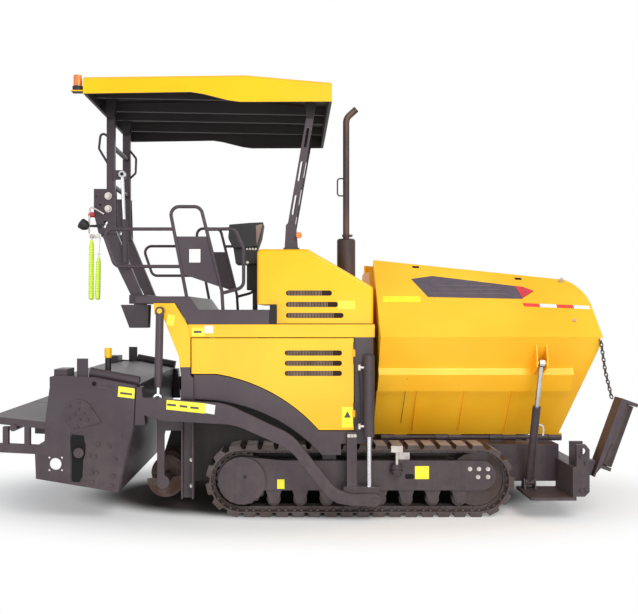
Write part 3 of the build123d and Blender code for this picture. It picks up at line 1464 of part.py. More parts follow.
# ---------------------------------------------------------------- exhaust
FLANGE_RADIUS = 38.0
with BuildPart() as muffler:
    bar((EXHAUST_X, EXHAUST_Y, ENGINE_TOP), (EXHAUST_X, EXHAUST_Y, MUFFLER_TOP), MUFFLER_RADIUS)
    chamfer(muffler.edges().filter_by(GeomType.CIRCLE).sort_by(Axis.Z)[-1], 12)
    bar((EXHAUST_X, EXHAUST_Y, MUFFLER_TOP), (EXHAUST_X, EXHAUST_Y, PIPE_HINGE_Z - 2), PIPE_RADIUS)
    bar(
        (EXHAUST_X, EXHAUST_Y, PIPE_HINGE_Z - 12),
        (EXHAUST_X, EXHAUST_Y, PIPE_HINGE_Z - 2),
        FLANGE_RADIUS,
    )
    for edge in (-1, 1):
        block(
            (EXHAUST_X + 20, PIPE_HINGE_X),
            (EXHAUST_Y + edge * 12, EXHAUST_Y + edge * 24),
            (PIPE_HINGE_Z - 12, PIPE_HINGE_Z - 2),
        )
        cross_bar(
            PIPE_HINGE_X, PIPE_HINGE_Z, EXHAUST_Y + edge * 12, EXHAUST_Y + edge * 24, 10
        )
    cross_bar(PIPE_HINGE_X, PIPE_HINGE_Z, EXHAUST_Y - 20, EXHAUST_Y + 20, 4)
save(muffler, "muffler")

with BuildPart() as exhaust_pipe:
    route = [
        (EXHAUST_X, EXHAUST_Y, PIPE_HINGE_Z),
        (EXHAUST_X, EXHAUST_Y, PIPE_TOP - 60),
        (EXHAUST_X + 92, EXHAUST_Y, PIPE_TOP + 24),
    ]
    bent_tube(route, 90, PIPE_RADIUS)
    bar(route[0], (EXHAUST_X, EXHAUST_Y, PIPE_HINGE_Z + 10), FLANGE_RADIUS)
    block(
        (EXHAUST_X + 20, PIPE_HINGE_X),
        (EXHAUST_Y - 10, EXHAUST_Y + 10),
        (PIPE_HINGE_Z, PIPE_HINGE_Z + 10),
    )
    cross_bar(PIPE_HINGE_X, PIPE_HINGE_Z, EXHAUST_Y - 10, EXHAUST_Y + 10, 10)
    cross_bar(
        PIPE_HINGE_X,
        PIPE_HINGE_Z,
        EXHAUST_Y - 12,
        EXHAUST_Y + 12,
        4 + PIN_GAP,
        Mode.SUBTRACT,
    )
    grip = [(282, 3010), (225, 3010), (225, 2850), (282, 2850)]
    bent_tube([(x, EXHAUST_Y, z) for x, z in grip], 25, 7)
save(exhaust_pipe, "exhaust_pipe")

# ---------------------------------------------------------------- tow points and arms
SLIDE_BOTTOM = 140.0
SLIDE_TOP = 290.0
TOW_PIN = 25.0
ARM_OUTER_Y = ARM_INNER_Y + ARM_THICKNESS
with BuildPart() as tow_slides:
    for side in (-1, 1):
        guide_face = side * (PANEL_Y + GUIDE_DEPTH)
        block(
            (GUIDE_REAR - 34, TOW_X + 45),
            (guide_face + side * 1, side * (ARM_INNER_Y - CLEAR)),
            (SLIDE_BOTTOM, SLIDE_TOP),
        )
        for x in ((GUIDE_REAR - 34, GUIDE_REAR - 1), (GUIDE_FRONT + 1, GUIDE_FRONT + 34)):
            block(x, (side * (PANEL_Y + 8), guide_face + side * 2), (SLIDE_BOTTOM, SLIDE_TOP))
        cross_bar(TOW_X, TOW_Z, side * (ARM_INNER_Y - CLEAR - 5), side * (ARM_OUTER_Y + 6), TOW_PIN)
        bar((LEVEL_X, side * LEVEL_Y, SLIDE_TOP), (LEVEL_X, side * LEVEL_Y, LEVEL_TOP - 250), 22)
save(tow_slides, "tow_slides")

with BuildPart() as tow_arms:
    for side in (-1, 1):
        corners = (  # x, z, bend
            (-1500, 1056, 0),
            (-760, 1005, 500),
            (-190, 735, 400),
            (170, 285, 250),
            (300, 240, 100),
            (TOW_X, 240, 0),
            (TOW_X, 140, 0),
            (300, 145, 100),
            (180, 165, 120),
            (105, 215, 120),
            (-215, 620, 400),
            (-680, 825, 500),
            (-1300, 858, 60),
            (-1440, 905, 0),
        )
        with BuildSketch(Plane.XZ.offset(-max(side * ARM_INNER_Y, side * ARM_OUTER_Y))) as outline:
            with BuildLine():
                FilletPolyline(
                    *[(x, z) for x, z, bend in corners],
                    radius=[max(bend, 1) for x, z, bend in corners],
                    close=True,
                )
            make_face()
            with Locations((TOW_X, TOW_Z)):
                Circle(52)
                Circle(TOW_PIN + PIN_GAP, mode=Mode.SUBTRACT)
        extrude(outline.sketch, amount=ARM_THICKNESS)
        side_plate(
            [
                SCREED_KNEE,
                (SCREED_BROW[0], SCREED_BROW[1] - 15),
                (SCREED_BROW[0] + 43, SCREED_BROW[1] - 15),
                (SCREED_KNEE[0] + 90, SCREED_KNEE[1]),
            ],
            side * (ARM_INNER_Y - 90),
            side * ARM_OUTER_Y,
        )
        cross_bar(*LIFT_EYE, side * (ARM_INNER_Y + 5), side * (LIFT_Y + 34 + CLEAR), LIFT_PIN)
save(tow_arms, "tow_arms")

# ---------------------------------------------------------------- screed
GUIDES = ((-1985.0, 590.0, SCREED_GUIDE_RADIUS), (-1760.0, 400.0, 30.0))  # x, z, radius
END_INNER = SCREED_HALF_WIDTH + 7.0
with BuildPart() as screed_body:
    side_plate(
        [
            SCREED_TOE,
            SCREED_KNEE,
            SCREED_BROW,
            (-1860, 1225),
            (SCREED_SPLIT_X, 1225),
            (SCREED_SPLIT_X, 327),
        ],
        -SCREED_HALF_WIDTH,
        SCREED_HALF_WIDTH,
    )
    for y in (-1, 1):
        rail_y = y * (SCREED_HALF_WIDTH - 65)
        bar((-1909, rail_y, 1262), (-1492, rail_y, 1184), 42)
        plate_y = y * (SCREED_HALF_WIDTH - 23)
        block((-2014, -1921), (plate_y, plate_y - y * 12), (1215, 1380))
    for x, z, radius in GUIDES:
        cross_bar(
            x, z, -SCREED_HALF_WIDTH - 1, SCREED_HALF_WIDTH + 1, radius + RUNNING_GAP, Mode.SUBTRACT
        )
save(screed_body, "screed_body")

BOLT_CIRCLE = 150.0
BOLT_HOLE = 9.0
SOCKET_X, SOCKET_Z, SOCKET_RADIUS = -2183.0, 496.0, 50.0
for side_name, side in SIDES:
    end_outer = END_INNER + END_PLATE
    with BuildPart() as extension:
        side_plate(
            [
                (SCREED_SPLIT_X - 8, 329),
                (SCREED_SPLIT_X - 40, 333),
                (SCREED_SPLIT_X - 40, 640),
                (EXTENSION_REAR, 690),
                (EXTENSION_REAR, 880),
                (EXTENSION_REAR + 40, 1140),
                (EXTENSION_REAR + 40, 1215),
                (SCREED_SPLIT_X - 8, 1215),
            ],
            side * 8,
            side * END_INNER,
        )
        side_plate(
            [
                (SCREED_TOE[0] - 8, SCREED_TOE[1] + 2),
                (SCREED_KNEE[0] - 8, SCREED_KNEE[1]),
                (SCREED_BROW[0] - 8, SCREED_BROW[1]),
                (-1860, 1225),
                (-2190, 1240),
                (EXTENSION_REAR + 30, 1228),
                (EXTENSION_REAR + 30, 1140),
                (EXTENSION_REAR - 4, 880),
                (EXTENSION_REAR - 13, 690),
                (-2358, 640),
                (-2347, 372),
            ],
            side * END_INNER,
            side * end_outer,
        )
        cross_bar(-1983, 918, side * (end_outer - 2), side * (end_outer + END_COVER), 118)
        side_plate(
            [(-1983, 918), (-1884, 983), (-1798, 851), (-1949, 805)],
            side * (end_outer - 2),
            side * (end_outer + END_COVER),
        )
        block(
            (EXTENSION_REAR + 60, SCREED_SPLIT_X - 12),
            (side * (END_INNER - 260), side * (END_INNER - 10)),
            (1205, 1290),
        )
        block((-2058, -1916), (side * (end_outer - 8), side * (end_outer + 5)), (345, 760), Mode.SUBTRACT)
        cross_bar(-1987, 590, side * (end_outer - 10), side * (end_outer + END_COVER), 42)
        with BuildSketch(Plane.XZ.offset(-max(side * (END_INNER - 40), side * (end_outer + 1)))) as holes:
            with Locations((SOCKET_X, SOCKET_Z)):
                Circle(SOCKET_RADIUS)
                with PolarLocations(BOLT_CIRCLE / 2, 4, start_angle=45):
                    Circle(BOLT_HOLE)
        extrude(holes.sketch, amount=41 + END_PLATE, mode=Mode.SUBTRACT)
        for x, z, radius in GUIDES:
            cross_bar(x, z, side * 72, side * (END_INNER + 1), radius)
        # Walkway on its brackets
        side_plate(
            [
                (EXTENSION_REAR, WALKWAY_Z),
                (EXTENSION_REAR, WALKWAY_Z + WALKWAY_THICKNESS),
                (WALKWAY_REAR, WALKWAY_Z + WALKWAY_THICKNESS + 50),
                (WALKWAY_REAR, WALKWAY_Z + 50),
            ],
            side * 8,
            side * END_INNER,
        )
        for y in (40, END_INNER - WALKWAY_ARM):
            span = (side * y, side * (y + WALKWAY_ARM))
            side_plate(
                [
                    (SCREED_SPLIT_X - 30, 565),
                    (SCREED_SPLIT_X - 30, 640),
                    (WALKWAY_REAR + 43, 668),
                    (WALKWAY_REAR + 43, 593),
                ],
                *span,
            )
            for x in (WALKWAY_REAR + 101, WALKWAY_REAR + 283):
                block((x, x + 45), span, (645, WALKWAY_Z + 20))
        bar((-2540, side * 8, 800), (-2540, side * (END_INNER + 14), 800), 30)
    save(extension, f"extension_{side_name}")

with BuildPart() as lift_barrels:
    for side in (-1, 1):
        y = side * LIFT_Y
        base, head = (LIFT_TOP[0], y, LIFT_TOP[1]), (LIFT_EYE[0], y, LIFT_EYE[1])
        barrel(base, head, (0, 1, 0), 652, 34, 20, LIFT_PIN, 46)
save(lift_barrels, "lift_barrels")
with BuildPart() as lift_rods:
    for side in (-1, 1):
        y = side * LIFT_Y
        base, head = (LIFT_TOP[0], y, LIFT_TOP[1]), (LIFT_EYE[0], y, LIFT_EYE[1])
        rod(base, head, (0, 1, 0), 500, 20, LIFT_PIN, 56)
save(lift_rods, "lift_rods")

# ---------------------------------------------------------------- augers
with BuildPart() as auger_case:
    side_plate(
        [
            (-1440, 190),
            (-1440, 400),
            (-1270, 960),
            (CHASSIS_REAR, 960),
            (CHASSIS_REAR, 860),
            (-1190, 760),
            (-1180, 420),
            (-1200, 190),
        ],
        -70,
        70,
    )
save(auger_case, "auger_case")

BLADE_TILT = atan2(AUGER_PITCH / 2, 2 * AUGER_RADIUS)
BLADES = int((AUGER_OUTER_Y - AUGER_INNER_Y - 60) / (AUGER_PITCH / 2))
for side_name, side in SIDES:
    with BuildPart() as auger:
        cross_bar(AUGER_X, AUGER_Z, side * AUGER_INNER_Y, side * AUGER_OUTER_Y, AUGER_SHAFT_RADIUS)
        for n in range(BLADES):
            y = side * (AUGER_INNER_Y + 70 + n * AUGER_PITCH / 2)
            half = 1 if n % 2 else -1
            diameter = Vector(half * cos(BLADE_TILT), sin(BLADE_TILT), 0)
            outward = Vector(0, 0, -half)
            plane = Plane(
                origin=(AUGER_X, y, AUGER_Z), x_dir=diameter, z_dir=diameter.cross(outward)
            )
            with BuildSketch(plane) as half_blade:
                Circle(AUGER_RADIUS)
                with Locations((0, -AUGER_RADIUS)):
                    Rectangle(3 * AUGER_RADIUS, 2 * AUGER_RADIUS, mode=Mode.SUBTRACT)
            extrude(half_blade.sketch, amount=AUGER_BLADE / 2, both=True)
    save(auger, f"auger_{side_name}")

# ---------------------------------------------------------------- small fittings
LAMP_BOTTOM = 2515.0
with BuildPart() as work_lamps:
    for side in (-1, 1):
        y = side * (MAST_Y + CHEEK_GAP + 16)
        block((-2159, -2069), (y, y + side * 110), (LAMP_BOTTOM, LAMP_BOTTOM + 105))
        block((-2075, -1960), (y, y + side * 12), (LAMP_BOTTOM + 30, LAMP_BOTTOM + 75))
save(work_lamps, "work_lamps")

with BuildPart() as marker_batons:
    y = -(MAST_Y + CHEEK_GAP + 16)
    for x in (-2062, -2000):
        bar((x, y - 30, 1880), (x + 8, y - 30, 2440), 26)
    block((-2080, -1975), (y - 40, y), (2390, LAMP_BOTTOM - 7))
save(marker_batons, "marker_batons")
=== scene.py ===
"""Finish and fittings of a tracked asphalt paver, set on the solids of its frame.

Lengths are in metres: X forward, Y to the machine's left, Z up from the ground.
"""
import json
import math

import bmesh
import bpy
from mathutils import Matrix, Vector
from mathutils.bvhtree import BVHTree


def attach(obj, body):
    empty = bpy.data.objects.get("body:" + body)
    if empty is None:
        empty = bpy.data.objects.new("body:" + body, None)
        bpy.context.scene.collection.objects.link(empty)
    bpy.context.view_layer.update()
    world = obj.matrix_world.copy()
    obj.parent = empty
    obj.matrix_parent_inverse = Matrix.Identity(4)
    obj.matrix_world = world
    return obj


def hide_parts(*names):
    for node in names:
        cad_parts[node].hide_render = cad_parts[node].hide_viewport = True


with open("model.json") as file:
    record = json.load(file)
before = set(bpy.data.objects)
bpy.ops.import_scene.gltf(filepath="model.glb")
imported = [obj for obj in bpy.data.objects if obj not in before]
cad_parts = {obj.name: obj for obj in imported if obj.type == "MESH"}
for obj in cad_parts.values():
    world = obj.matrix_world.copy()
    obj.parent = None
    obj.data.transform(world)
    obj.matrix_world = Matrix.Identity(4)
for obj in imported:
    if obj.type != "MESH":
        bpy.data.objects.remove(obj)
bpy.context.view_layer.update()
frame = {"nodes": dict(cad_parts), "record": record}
record = frame["record"]
BODY_OF = {node: name for name, nodes in record["behaviour"]["bodies"].items() for node in nodes}
SLOT_OF = {entry["node"]: entry["material_slot"] for entry in record["subparts"]}
SIDES = (("right", -1), ("left", 1))


# ---------------------------------------- node trees
class Graph:
    """A node tree in the making."""

    def node(self, kind, settings=None, values=None):
        """A new node with its settings, and each input linked or set to a value."""
        made = self.tree.nodes.new(kind)
        for key, value in (settings or {}).items():
            setattr(made, key, value)
        for key, value in (values or {}).items():
            value = value.socket if isinstance(value, Wire) else value
            if isinstance(value, bpy.types.NodeSocket):
                self.tree.links.new(value, made.inputs[key])
            else:
                made.inputs[key].default_value = value
        return made


class Wire:
    """A shader socket that takes plain arithmetic."""

    def __init__(self, finish, socket):
        self.finish, self.socket = finish, socket

    def _maths(self, operation, *values):
        made = self.finish.node("ShaderNodeMath", {"operation": operation}, dict(enumerate(values)))
        return Wire(self.finish, made.outputs[0])

    def __add__(self, other):
        return self._maths("ADD", self, other)

    def __sub__(self, other):
        return self._maths("SUBTRACT", self, other)

    def __rsub__(self, other):
        return self._maths("SUBTRACT", other, self)

    def __mul__(self, other):
        return self._maths("MULTIPLY", self, other)

    __radd__ = __add__

    def over(self, other):
        return self._maths("GREATER_THAN", self, other)

    def either(self, other):
        return self._maths("MAXIMUM", self, other)

    def between(self, low, high):
        """0 at low and 1 at high, smooth from one to the other."""
        settings = {"interpolation_type": "SMOOTHSTEP"}
        values = {"Value": self, "From Min": low, "From Max": high}
        made = self.finish.node("ShaderNodeMapRange", settings, values)
        return Wire(self.finish, made.outputs[0])


class Finish(Graph):
    """A material, or the world, in the making."""

    def __init__(self, name, holder=None):
        self.material = holder or bpy.data.materials.new(name)
        self.material.use_nodes = True
        self.tree = self.material.node_tree
        self.tree.nodes.clear()
        place = self.node("ShaderNodeTexCoord")
        self.place = Wire(self, place.outputs["Object"])
        self.facing = Wire(self, place.outputs["Normal"])

    def wire(self, made, output=0):
        """An output of a node, ready for arithmetic."""
        return Wire(self, made.outputs[output])

    def along(self, vector, axis):
        made = self.node("ShaderNodeSeparateXYZ", {}, {0: vector})
        return self.wire(made, "XYZ".index(axis))

    def stretched(self, scale):
        """The place on the machine, with its axes scaled."""
        return self.wire(self.node("ShaderNodeMapping", {}, {"Vector": self.place, "Scale": scale}))

    def noise(self, scale, detail=3.0, roughness=0.55, at=None):
        values = {"Scale": scale, "Detail": detail, "Roughness": roughness}
        values["Vector"] = at or self.place
        return self.wire(self.node("ShaderNodeTexNoise", {}, values))

    def blend(self, share, first, second):
        values = {0: share, 6: first, 7: second}
        return self.wire(self.node("ShaderNodeMix", {"data_type": "RGBA"}, values), 2)

    def edges(self, radius):
        """1 on a sharp outer edge, 0 on flats."""
        rounded = self.node("ShaderNodeBevel", {"samples": 4}, {"Radius": radius})
        true = self.node("ShaderNodeNewGeometry")
        values = {0: self.wire(rounded), 1: self.wire(true, "Normal")}
        dot = self.node("ShaderNodeVectorMath", {"operation": "DOT_PRODUCT"}, values)
        return 1 - self.wire(dot, "Value")

    def bump(self, height, distance, strength=0.5):
        values = {"Height": height, "Distance": distance, "Strength": strength}
        return self.wire(self.node("ShaderNodeBump", {}, values))

    def skin(self, **values):
        """Puts out one surface shader; a keyword's underscores stand for spaces."""
        sockets = {key.replace("_", " "): value for key, value in values.items()}
        shader = self.node("ShaderNodeBsdfPrincipled", {}, sockets)
        output = self.node("ShaderNodeOutputMaterial")
        self.tree.links.new(shader.outputs[0], output.inputs[0])
        return self.material

    def seen(self):
        """1 where a camera, a reflection or a glass looks, 0 for light that falls on things."""
        path = self.node("ShaderNodeLightPath")
        glance = self.wire(path, "Is Camera Ray").either(self.wire(path, "Is Glossy Ray"))
        return glance.either(self.wire(path, "Is Transmission Ray"))

    def shown(self, share, first, second, output):
        """Puts out a mix of two shaders."""
        pick = self.node("ShaderNodeMixShader", {}, {0: share})
        self.tree.links.new(first.outputs[0], pick.inputs[1])
        self.tree.links.new(second.outputs[0], pick.inputs[2])
        self.tree.links.new(pick.outputs[0], self.node(output).inputs[0])
        return self.material


def tone(red, green, blue):
    """A paint chart's 0 to 255 numbers as a shader's colour."""
    straight = []
    for value in (red, green, blue):
        share = value / 255
        straight.append(share / 12.92 if share <= 0.04045 else ((share + 0.055) / 1.055) ** 2.4)
    return (*straight, 1.0)


DUST = tone(150, 132, 118)
PRIMER = tone(96, 84, 80)


def machine_paint(name, colour, shade, gloss, dust, wear, coat):
    """Sprayed enamel with orange peel, drifting tone, dust low down and worn edges."""
    f = Finish(name)
    drift = f.noise(0.9, 3).between(0.35, 0.68)
    mottled = f.noise(14, 4)
    streaks = f.noise(1.0, 4, at=f.stretched((9, 9, 0.7)))
    low = 1 - f.along(f.place, "Z").between(0.15, 1.5)
    upward = f.along(f.facing, "Z").between(0.3, 1.0)
    film = (low * 0.75 + upward * 0.25 + 0.08) * (mottled * 0.6 + streaks * 0.7).between(0.45, 0.9)
    body = f.blend(drift, colour, shade)
    dusty = f.blend(film * dust, body, DUST)
    rubbed = f.edges(0.006).between(0.04, 0.32) * f.noise(38, 5, 0.7).between(0.5, 0.66) * wear
    colour_out = f.blend(rubbed, dusty, PRIMER)
    peel = f.noise(260, 2) * 0.5 + f.noise(9, 2) * 0.5
    return f.skin(
        Base_Color=colour_out,
        Roughness=gloss + film * 0.45 * dust + rubbed * 0.25 + mottled * 0.06,
        Specular_IOR_Level=0.3,
        Coat_Weight=coat,
        Coat_Roughness=0.12,
        Normal=f.bump(peel, 0.0012, 0.25),
    )


def worked_steel(name, colour, rust, roughness=0.5, metal=0.75, bright=0.6):
    """Bare steel that works in grit: brown in the hollows, bright on the corners."""
    f = Finish(name)
    patches = f.noise(7, 5, 0.65)
    grit = f.noise(90, 4, 0.7)
    body = f.blend(patches.between(0.35, 0.65), colour, rust)
    corners = f.edges(0.008).between(0.05, 0.45) * grit.between(0.35, 0.6) * bright
    shone = f.blend(corners, body, tone(176, 168, 164))
    return f.skin(
        Base_Color=shone,
        Metallic=metal,
        Roughness=roughness + patches * 0.25 - corners * 0.25,
        Normal=f.bump(grit + patches * 0.6, 0.002, 0.5),
    )


def ground_rod(name, colour, roughness):
    """Ground or chromed bar, with the faintest rings of its grinding."""
    f = Finish(name)
    rings = f.noise(60, 2, at=f.stretched((1, 1, 14)))
    smear = f.noise(6, 3).between(0.4, 0.7)
    return f.skin(
        Base_Color=f.blend(smear * 0.35, colour, tone(150, 140, 130)),
        Metallic=1.0,
        Roughness=roughness + smear * 0.15 + rings * 0.05,
        Normal=f.bump(rings, 0.0004, 0.2),
    )


def moulded(name, colour, shade, roughness=0.55, grain=240):
    """Moulded plastic or rubber with a fine grain."""
    f = Finish(name)
    speckle = f.noise(grain, 3)
    broad = f.noise(3, 2)
    return f.skin(
        Base_Color=f.blend(broad.between(0.3, 0.7), colour, shade),
        Roughness=roughness + broad * 0.12,
        Normal=f.bump(speckle, 0.0008, 0.4),
    )


def lens(name, colour, deep, ribs=90):
    """Coloured lens with moulded ribs behind a glossy face."""
    f = Finish(name)
    ribbed = f.node("ShaderNodeTexWave", {"bands_direction": "Z"}, {0: f.place, "Scale": ribs})
    return f.skin(
        Base_Color=f.blend(f.wire(ribbed, 1), colour, deep),
        Roughness=0.12 + f.noise(30, 2) * 0.06,
        Coat_Weight=0.6,
        Normal=f.bump(f.wire(ribbed, 1), 0.001, 0.4),
    )


def hot_steel(name):
    """Exhaust steel, dull black with a brown heat bloom."""
    f = Finish(name)
    bloom = f.noise(2.2, 4, at=f.stretched((3, 3, 0.8))).between(0.4, 0.65)
    scale = f.noise(70, 4, 0.7)
    return f.skin(
        Base_Color=f.blend(bloom * 0.6, tone(66, 54, 54), tone(112, 84, 70)),
        Metallic=0.55,
        Roughness=0.42 + scale * 0.2,
        Normal=f.bump(scale, 0.001, 0.35),
    )


def sticker(name, colour, shade, rough=0.4):
    """Printed film, slightly sun-bleached and scuffed."""
    f = Finish(name)
    faded = f.noise(12, 4).between(0.35, 0.7)
    scuff = f.noise(60, 5, 0.7).between(0.62, 0.72)
    body = f.blend(faded, colour, shade)
    return f.skin(
        Base_Color=f.blend(scuff * 0.3, body, DUST),
        Roughness=rough + scuff * 0.2,
        Coat_Weight=0.2,
        Normal=f.bump(faded, 0.0003, 0.2),
    )


def striped_film(name, first, second, length, start):
    """Film in two colours that take turns along X, the first one centred on start."""
    f = Finish(name)
    step = (f.along(f.place, "X") - start) * (1 / length)
    made = f.node("ShaderNodeMath", {"operation": "PINGPONG"}, {0: step, 1: 1.0})
    turn = f.wire(made).over(0.5)
    scuff = f.noise(40, 5, 0.7).between(0.6, 0.72)
    return f.skin(
        Base_Color=f.blend(scuff * 0.35, f.blend(turn, first, second), DUST),
        Roughness=0.35 + scuff * 0.2,
        Normal=f.bump(scuff, 0.0003, 0.2),
    )


PAINTS = {  # name: (colour, shade, gloss, dust, wear, coat)
    "yellow_enamel": (tone(248, 190, 8), tone(242, 180, 6), 0.32, 0.04, 0.2, 0.12),
    "hopper_enamel": (tone(255, 196, 46), tone(251, 182, 28), 0.42, 0.03, 0.3, 0.08),
    "charcoal_enamel": (tone(72, 61, 67), tone(60, 51, 57), 0.45, 0.15, 0.5, 0.08),
    # near-black copy of the charcoal enamel: painted shade for parts that stand in shadow
    "painted_shade_enamel": (tone(42, 36, 38), tone(33, 28, 30), 0.55, 0.1, 0.3, 0.0),
}
YELLOW, WING_YELLOW, DARK, PAINTED_SHADE = (machine_paint(name, *made) for name, made in PAINTS.items())
TRACK = worked_steel("track_steel", tone(84, 76, 76), tone(78, 64, 60), 0.5, 0.5, 0.7)
SCREW = worked_steel("auger_steel", tone(110, 98, 94), tone(88, 66, 56), 0.4, 0.7, 0.8)
ZINC = worked_steel("plated_fasteners", tone(214, 208, 204), tone(180, 172, 166), 0.34, 0.5, 0.4)
CHROME = ground_rod("chromed_rod", tone(214, 214, 218), 0.12)
ROLLER = worked_steel("roller_steel", tone(74, 66, 66), tone(66, 54, 50), 0.42, 0.6, 0.5)
BLACK = moulded("black_plastic", tone(16, 15, 16), tone(22, 20, 21))
RUBBER = moulded("black_rubber", tone(24, 22, 23), tone(34, 31, 31), 0.75, 120)
TAN = moulded("tan_housing", tone(150, 124, 108), tone(128, 104, 92), 0.5)
AMBER = lens("amber_lens", tone(244, 140, 24), tone(206, 92, 12))
RED_LENS = lens("red_lens", tone(206, 30, 26), tone(140, 14, 14))
CLEAR_LENS = lens("lamp_glass", tone(214, 216, 214), tone(176, 180, 180), 60)
BATON = lens("baton_sleeve", tone(214, 240, 40), tone(186, 220, 20), 14)
EXHAUST = hot_steel("exhaust_steel")
LABEL = sticker("yellow_label", tone(250, 238, 40), tone(244, 228, 24))
WHITE = sticker("white_label", tone(236, 236, 230), tone(222, 222, 216))
PANEL_FILM = sticker("charcoal_film", tone(78, 66, 78), tone(68, 58, 70), 0.3)
RED_FILM = sticker("red_film", tone(214, 40, 52), tone(196, 30, 44), 0.3)
SAFETY = striped_film("safety_stripe", tone(226, 60, 44), tone(240, 236, 226), 0.1455, 1.888)
GRILLE = worked_steel("grille_wire", tone(150, 128, 110), tone(110, 92, 80), 0.45, 0.8, 0.3)
GLASS = lens("screen_glass", tone(26, 34, 40), tone(16, 22, 28), 5)
# painted shade for the inside of the louvre slots
SLOT_SHADE = moulded("painted_slot_shade", tone(46, 26, 18), tone(30, 18, 14), 0.9)
# painted shade for holes and recesses that are open on the real machine
HOLE_SHADE = moulded("painted_hole_shade", tone(14, 12, 13), tone(19, 16, 17), 0.95)
SEAM = moulded("seam_shadow", tone(58, 48, 50), tone(48, 40, 42), 0.8)
TREAD = worked_steel("tread_plate", tone(84, 74, 78), tone(56, 50, 54), 0.6, 0.3, 0.4)
PADS = worked_steel("worn_pads", tone(160, 148, 146), tone(140, 128, 126), 0.7, 0.0, 0.8)
PANEL_LINE = sticker("panel_line", tone(104, 88, 86), tone(96, 82, 80), 0.35)
CHAIN_STEEL = worked_steel("chain_steel", tone(70, 62, 64), tone(60, 52, 52), 0.45, 0.4, 0.5)
INK = sticker("label_ink", tone(60, 54, 30), tone(52, 46, 28), 0.45)


# ---------------------------------------- shaping
MERGE_DISTANCE = 2e-5
FLAT_ANGLE = math.radians(0.6)
EDGE_ANGLE = math.radians(40)
SMOOTH_ANGLE = math.radians(35)


def added(name, data):
    """A new object in the scene."""
    made = bpy.data.objects.new(name, data)
    bpy.context.scene.collection.objects.link(made)
    return made


def frozen(piece):
    """A mesh of a piece as its curve or its modifiers shape it."""
    ready = bpy.context.evaluated_depsgraph_get()
    return bpy.data.meshes.new_from_object(piece.evaluated_get(ready))


def bake(piece):
    """Turns a piece's modifiers into its mesh."""
    mesh = frozen(piece)
    piece.modifiers.clear()
    piece.data = mesh


def settle(piece, bevel=0.0):
    """Rounds the edges, shades the curves smooth, and leaves a plain mesh."""
    if bevel:
        rounding = piece.modifiers.new("edge_rounding", "BEVEL")
        rounding.width = bevel
        rounding.segments = 2
        rounding.limit_method = "ANGLE"
        rounding.angle_limit = EDGE_ANGLE
        bake(piece)
    piece.data.shade_smooth()
    piece.data.set_sharp_from_angle(angle=SMOOTH_ANGLE)
    weights = piece.modifiers.new("flat_faces_first", "WEIGHTED_NORMAL")
    weights.keep_sharp = True
    bake(piece)


def hold(piece, body, material=None):
    """Sets a piece on the body that carries it, in a material slot."""
    if material:
        piece.data.materials.clear()
        piece.data.materials.append(material)
    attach(piece, body)
    return piece


def finished(node, material, bevel=0.004, others=()):
    """A node with rounded edges and its finish; others pairs a material with a test of a face."""
    mesh = frame["nodes"][node].data.copy()
    shape = bmesh.new()
    shape.from_mesh(mesh)
    bmesh.ops.remove_doubles(shape, verts=shape.verts, dist=MERGE_DISTANCE)
    bmesh.ops.dissolve_limit(
        shape, angle_limit=FLAT_ANGLE, verts=shape.verts, edges=shape.edges
    )
    shape.to_mesh(mesh)
    shape.free()
    mesh.materials.clear()
    mesh.materials.append(material)
    for mark, (other, belongs) in enumerate(others, 1):
        mesh.materials.append(other)
        for face in mesh.polygons:
            if belongs(face.center, face.normal):
                face.material_index = mark
    piece = added(f"{node}_finished", mesh)
    settle(piece, bevel)
    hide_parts(node)
    return hold(piece, BODY_OF[node])


class Stock:
    """Shapes that are gathered into one piece."""

    def __init__(self):
        self.shape = bmesh.new()

    def prism(self, points, low, high):
        """An outline in X and Z, from low to high along Y."""
        rings = [[self.shape.verts.new((x, y, z)) for x, z in points] for y in (low, high)]
        return self.walled(rings)

    def block(self, low, high):
        """A box from its low corner to its high corner."""
        (x0, y0, z0), (x1, y1, z1) = low, high
        return self.prism([(x0, z0), (x1, z0), (x1, z1), (x0, z1)], y0, y1)

    def turned(self, start, end, profile, sides=24):
        """A profile of (distance, radius) turned round the line from start to end."""
        start, end = Vector(start), Vector(end)
        along = (end - start).normalized()
        side = along.orthogonal().normalized()
        other = along.cross(side)
        rings = []
        for distance, radius in profile:
            middle = start + along * distance
            ring = []
            for n in range(sides):
                turn = 2 * math.pi * n / sides
                out = side * math.cos(turn) + other * math.sin(turn)
                ring.append(self.shape.verts.new(middle + out * radius))
            rings.append(ring)
        return self.walled(rings)

    def walled(self, rings):
        """Closes a row of like rings of corners into a solid."""
        count = len(rings[0])
        for lower, upper in zip(rings, rings[1:]):
            for n in range(count):
                after = (n + 1) % count
                self.shape.faces.new((lower[n], lower[after], upper[after], upper[n]))
        self.shape.faces.new(rings[0][::-1])
        self.shape.faces.new(rings[-1])
        return self

    def bar(self, start, end, radius, sides=20):
        """A round bar with softened ends."""
        length = (Vector(end) - Vector(start)).length
        lip = min(radius * 0.15, length * 0.2)
        profile = [(0, radius - lip), (lip, radius), (length - lip, radius), (length, radius - lip)]
        return self.turned(start, end, profile, sides)

    def piece(self, name, material, body, slot, bevel=0.0):
        """Sets the gathered shapes on a body as one piece."""
        bmesh.ops.recalc_face_normals(self.shape, faces=self.shape.faces)
        mesh = bpy.data.meshes.new(name)
        self.shape.to_mesh(mesh)
        self.shape.free()
        made = added(name, mesh)
        mesh.materials.append(material)
        settle(made, bevel)
        return hold(made, body)


def drawn(name, kind, points):
    """A curve with one line through points."""
    curve = bpy.data.curves.new(name, "CURVE")
    curve.dimensions = "3D"
    line = curve.splines.new(kind)
    line.points.add(len(points) - 1)
    for control, point in zip(line.points, points):
        control.co = (*point, 1)
    return curve


def taken(carrier):
    """The mesh of a carrier, which then goes."""
    mesh = frozen(carrier)
    bpy.data.objects.remove(carrier)
    mesh.shade_smooth()
    return mesh


